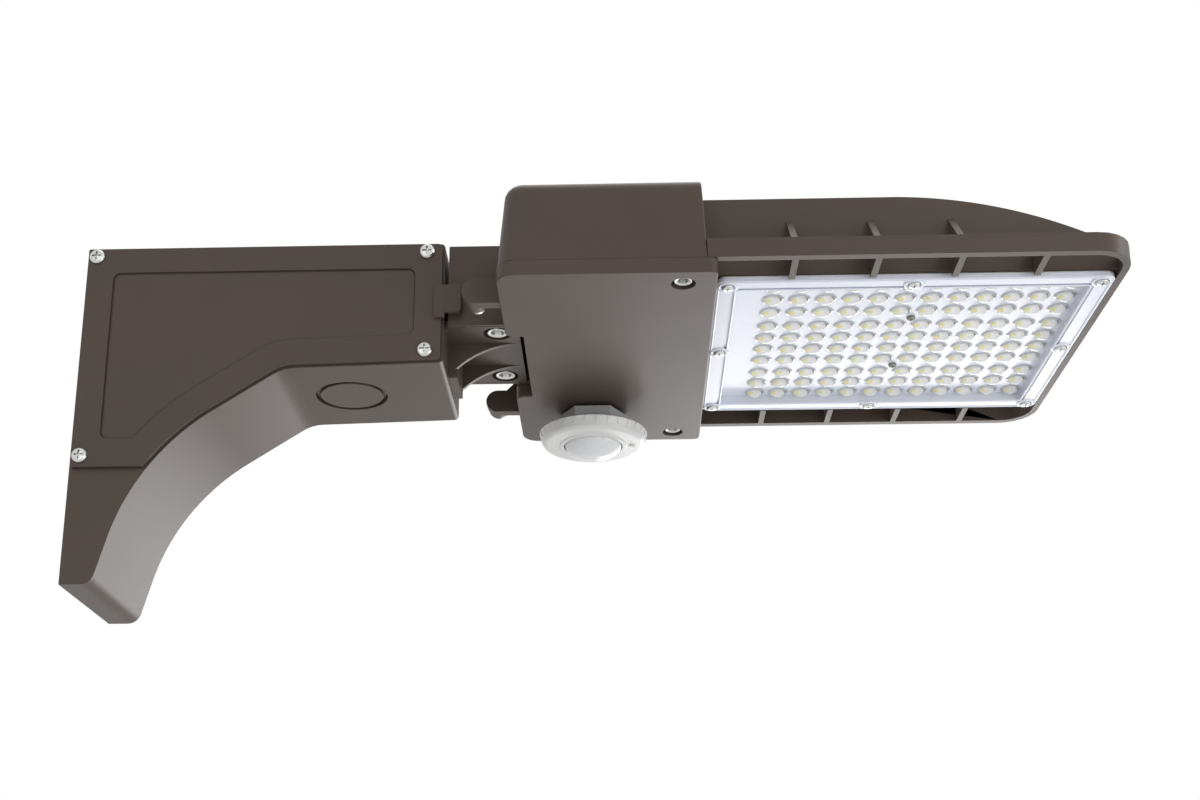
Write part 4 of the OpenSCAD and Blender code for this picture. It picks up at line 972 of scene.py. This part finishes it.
class OBJECT_OT_light_stage(bpy.types.Operator):
    """Set the floor, world, lamps and camera"""

    bl_idname = "object.light_stage"
    bl_label = "Stage"

    def execute(self, context):
        stage = context.scene.light_stage
        self.floor(stage)
        self.world(context.scene)
        self.lamps(context.scene)
        self.camera(context.scene, stage)
        context.scene.view_settings.view_transform = "Standard"
        return {"FINISHED"}

    def floor(self, stage):
        """Pale paper that turns white for the camera, and clear seen from underneath."""
        shape = bmesh.new()
        bmesh.ops.create_grid(shape, x_segments=1, y_segments=1, size=stage.floor_size)
        mesh = bpy.data.meshes.new("floor")
        shape.to_mesh(mesh)
        shape.free()
        made = bpy.data.objects.new("floor", mesh)
        under_middle = 0.33
        made.location = (under_middle, 0, stage.floor_drop)
        bpy.context.scene.collection.objects.link(made)
        material, tree, shader = new_material("pale_paper", {"Roughness": 0.9})
        shader.inputs["Base Color"].default_value = linear("#f2f2f2")
        white = add_node(tree, "ShaderNodeEmission", {"Strength": 1.0})
        path = add_node(tree, "ShaderNodeLightPath")
        # Gloss and clear plastic see plain white
        gloss = add_node(
            tree,
            "ShaderNodeMath",
            links={0: path.outputs["Is Glossy Ray"], 1: path.outputs["Is Transmission Ray"]},
            operation="MAXIMUM",
        )
        # The camera sees mostly white, and in the rest the object's shadow
        pale = add_node(
            tree,
            "ShaderNodeMath",
            {1: stage.floor_white},
            {0: path.outputs["Is Camera Ray"]},
            operation="MULTIPLY",
        )
        share = add_node(
            tree,
            "ShaderNodeMath",
            links={0: gloss.outputs[0], 1: pale.outputs[0]},
            operation="MAXIMUM",
        )
        lit = add_node(
            tree,
            "ShaderNodeMixShader",
            links={0: share.outputs[0], 1: shader.outputs[0], 2: white.outputs[0]},
        )
        # The low lamp shines through the floor's underside
        back = add_node(tree, "ShaderNodeNewGeometry")
        clear = add_node(tree, "ShaderNodeBsdfTransparent")
        seen = add_node(
            tree,
            "ShaderNodeMixShader",
            links={0: back.outputs["Backfacing"], 1: lit.outputs[0], 2: clear.outputs[0]},
        )
        tree.links.new(seen.outputs[0], tree.nodes["Material Output"].inputs["Surface"])
        mesh.materials.append(material)

    def world(self, scene):
        """An even sky, white where the camera, gloss or clear plastic looks at it."""
        world = bpy.data.worlds.new("studio")
        scene.world = world
        world.use_nodes = True
        tree = world.node_tree
        plain = tree.nodes["Background"]
        plain.inputs["Color"].default_value = linear("#ffffff")
        plain.inputs["Strength"].default_value = SKY_STRENGTH
        white = add_node(tree, "ShaderNodeBackground", {"Color": (1, 1, 1, 1), "Strength": 1.0})
        path = add_node(tree, "ShaderNodeLightPath")
        first = add_node(
            tree,
            "ShaderNodeMath",
            links={0: path.outputs["Is Camera Ray"], 1: path.outputs["Is Glossy Ray"]},
            operation="MAXIMUM",
        )
        seen = add_node(
            tree,
            "ShaderNodeMath",
            links={0: first.outputs[0], 1: path.outputs["Is Transmission Ray"]},
            operation="MAXIMUM",
        )
        mix = add_node(
            tree,
            "ShaderNodeMixShader",
            links={0: seen.outputs[0], 1: plain.outputs[0], 2: white.outputs[0]},
        )
        tree.links.new(mix.outputs[0], tree.nodes["World Output"].inputs["Surface"])

    def lamps(self, scene):
        """Soft boxes: below, behind and beside the light, two in front and one on top."""
        for name, place, aim, size, watts in LAMPS:
            data = bpy.data.lights.new(name, "AREA")
            data.shape = "RECTANGLE"
            data.size, data.size_y = size
            data.energy = watts
            made = bpy.data.objects.new(name, data)
            made.location = place
            look = Vector(aim) - Vector(place)
            made.rotation_euler = look.to_track_quat("-Z", "Y").to_euler()
            scene.collection.objects.link(made)

    def camera(self, scene, stage):
        """The camera, below the light and looking up at it."""
        data = bpy.data.cameras.new("photo_camera")
        data.lens = stage.focal
        data.shift_x = stage.shift_x
        data.shift_y = stage.shift_y
        data.clip_start, data.clip_end = 0.01, 50
        made = bpy.data.objects.new("photo_camera", data)
        made.location = stage.place
        made.rotation_euler = (math.pi / 2 + stage.pitch, 0, stage.turn)
        scene.collection.objects.link(made)
        scene.camera = made


# Panel and registration


class VIEW3D_PT_area_light(bpy.types.Panel):
    """Lists the steps that dress the light"""

    bl_label = "Area Light"
    bl_space_type = "VIEW_3D"
    bl_region_type = "UI"
    bl_category = "Area Light"

    def draw(self, context):
        scene = context.scene
        for group in (scene.light_coat, scene.light_lens, scene.light_stage):
            for name in group.__annotations__:
                self.layout.prop(group, name)
        for step in STEPS:
            self.layout.operator(step.bl_idname)


GROUPS = {"light_coat": CoatSettings, "light_lens": LensSettings, "light_stage": StageSettings}
STEPS = (
    OBJECT_OT_light_stage,
    OBJECT_OT_light_castings,
    OBJECT_OT_light_screws,
    OBJECT_OT_light_lens,
    OBJECT_OT_light_sensor,
    OBJECT_OT_light_rubber,
    OBJECT_OT_light_electrics,
)


def register():
    """Adds the classes, and the settings on the scene."""
    for each in (*GROUPS.values(), *STEPS, VIEW3D_PT_area_light):
        bpy.utils.register_class(each)
    for name, group in GROUPS.items():
        setattr(bpy.types.Scene, name, PointerProperty(type=group))


def unregister():
    """Takes the settings and the classes away again."""
    for name in GROUPS:
        delattr(bpy.types.Scene, name)
    for each in (VIEW3D_PT_area_light, *reversed(STEPS), *reversed(GROUPS.values())):
        bpy.utils.unregister_class(each)


def main():
    """Dresses the light step by step."""
    register()
    bpy.ops.object.light_stage()
    bpy.ops.object.light_castings()
    bpy.ops.object.light_screws()
    bpy.ops.object.light_lens()
    bpy.ops.object.light_sensor()
    bpy.ops.object.light_rubber()
    bpy.ops.object.light_electrics()


if __name__ == "__main__":
    main()
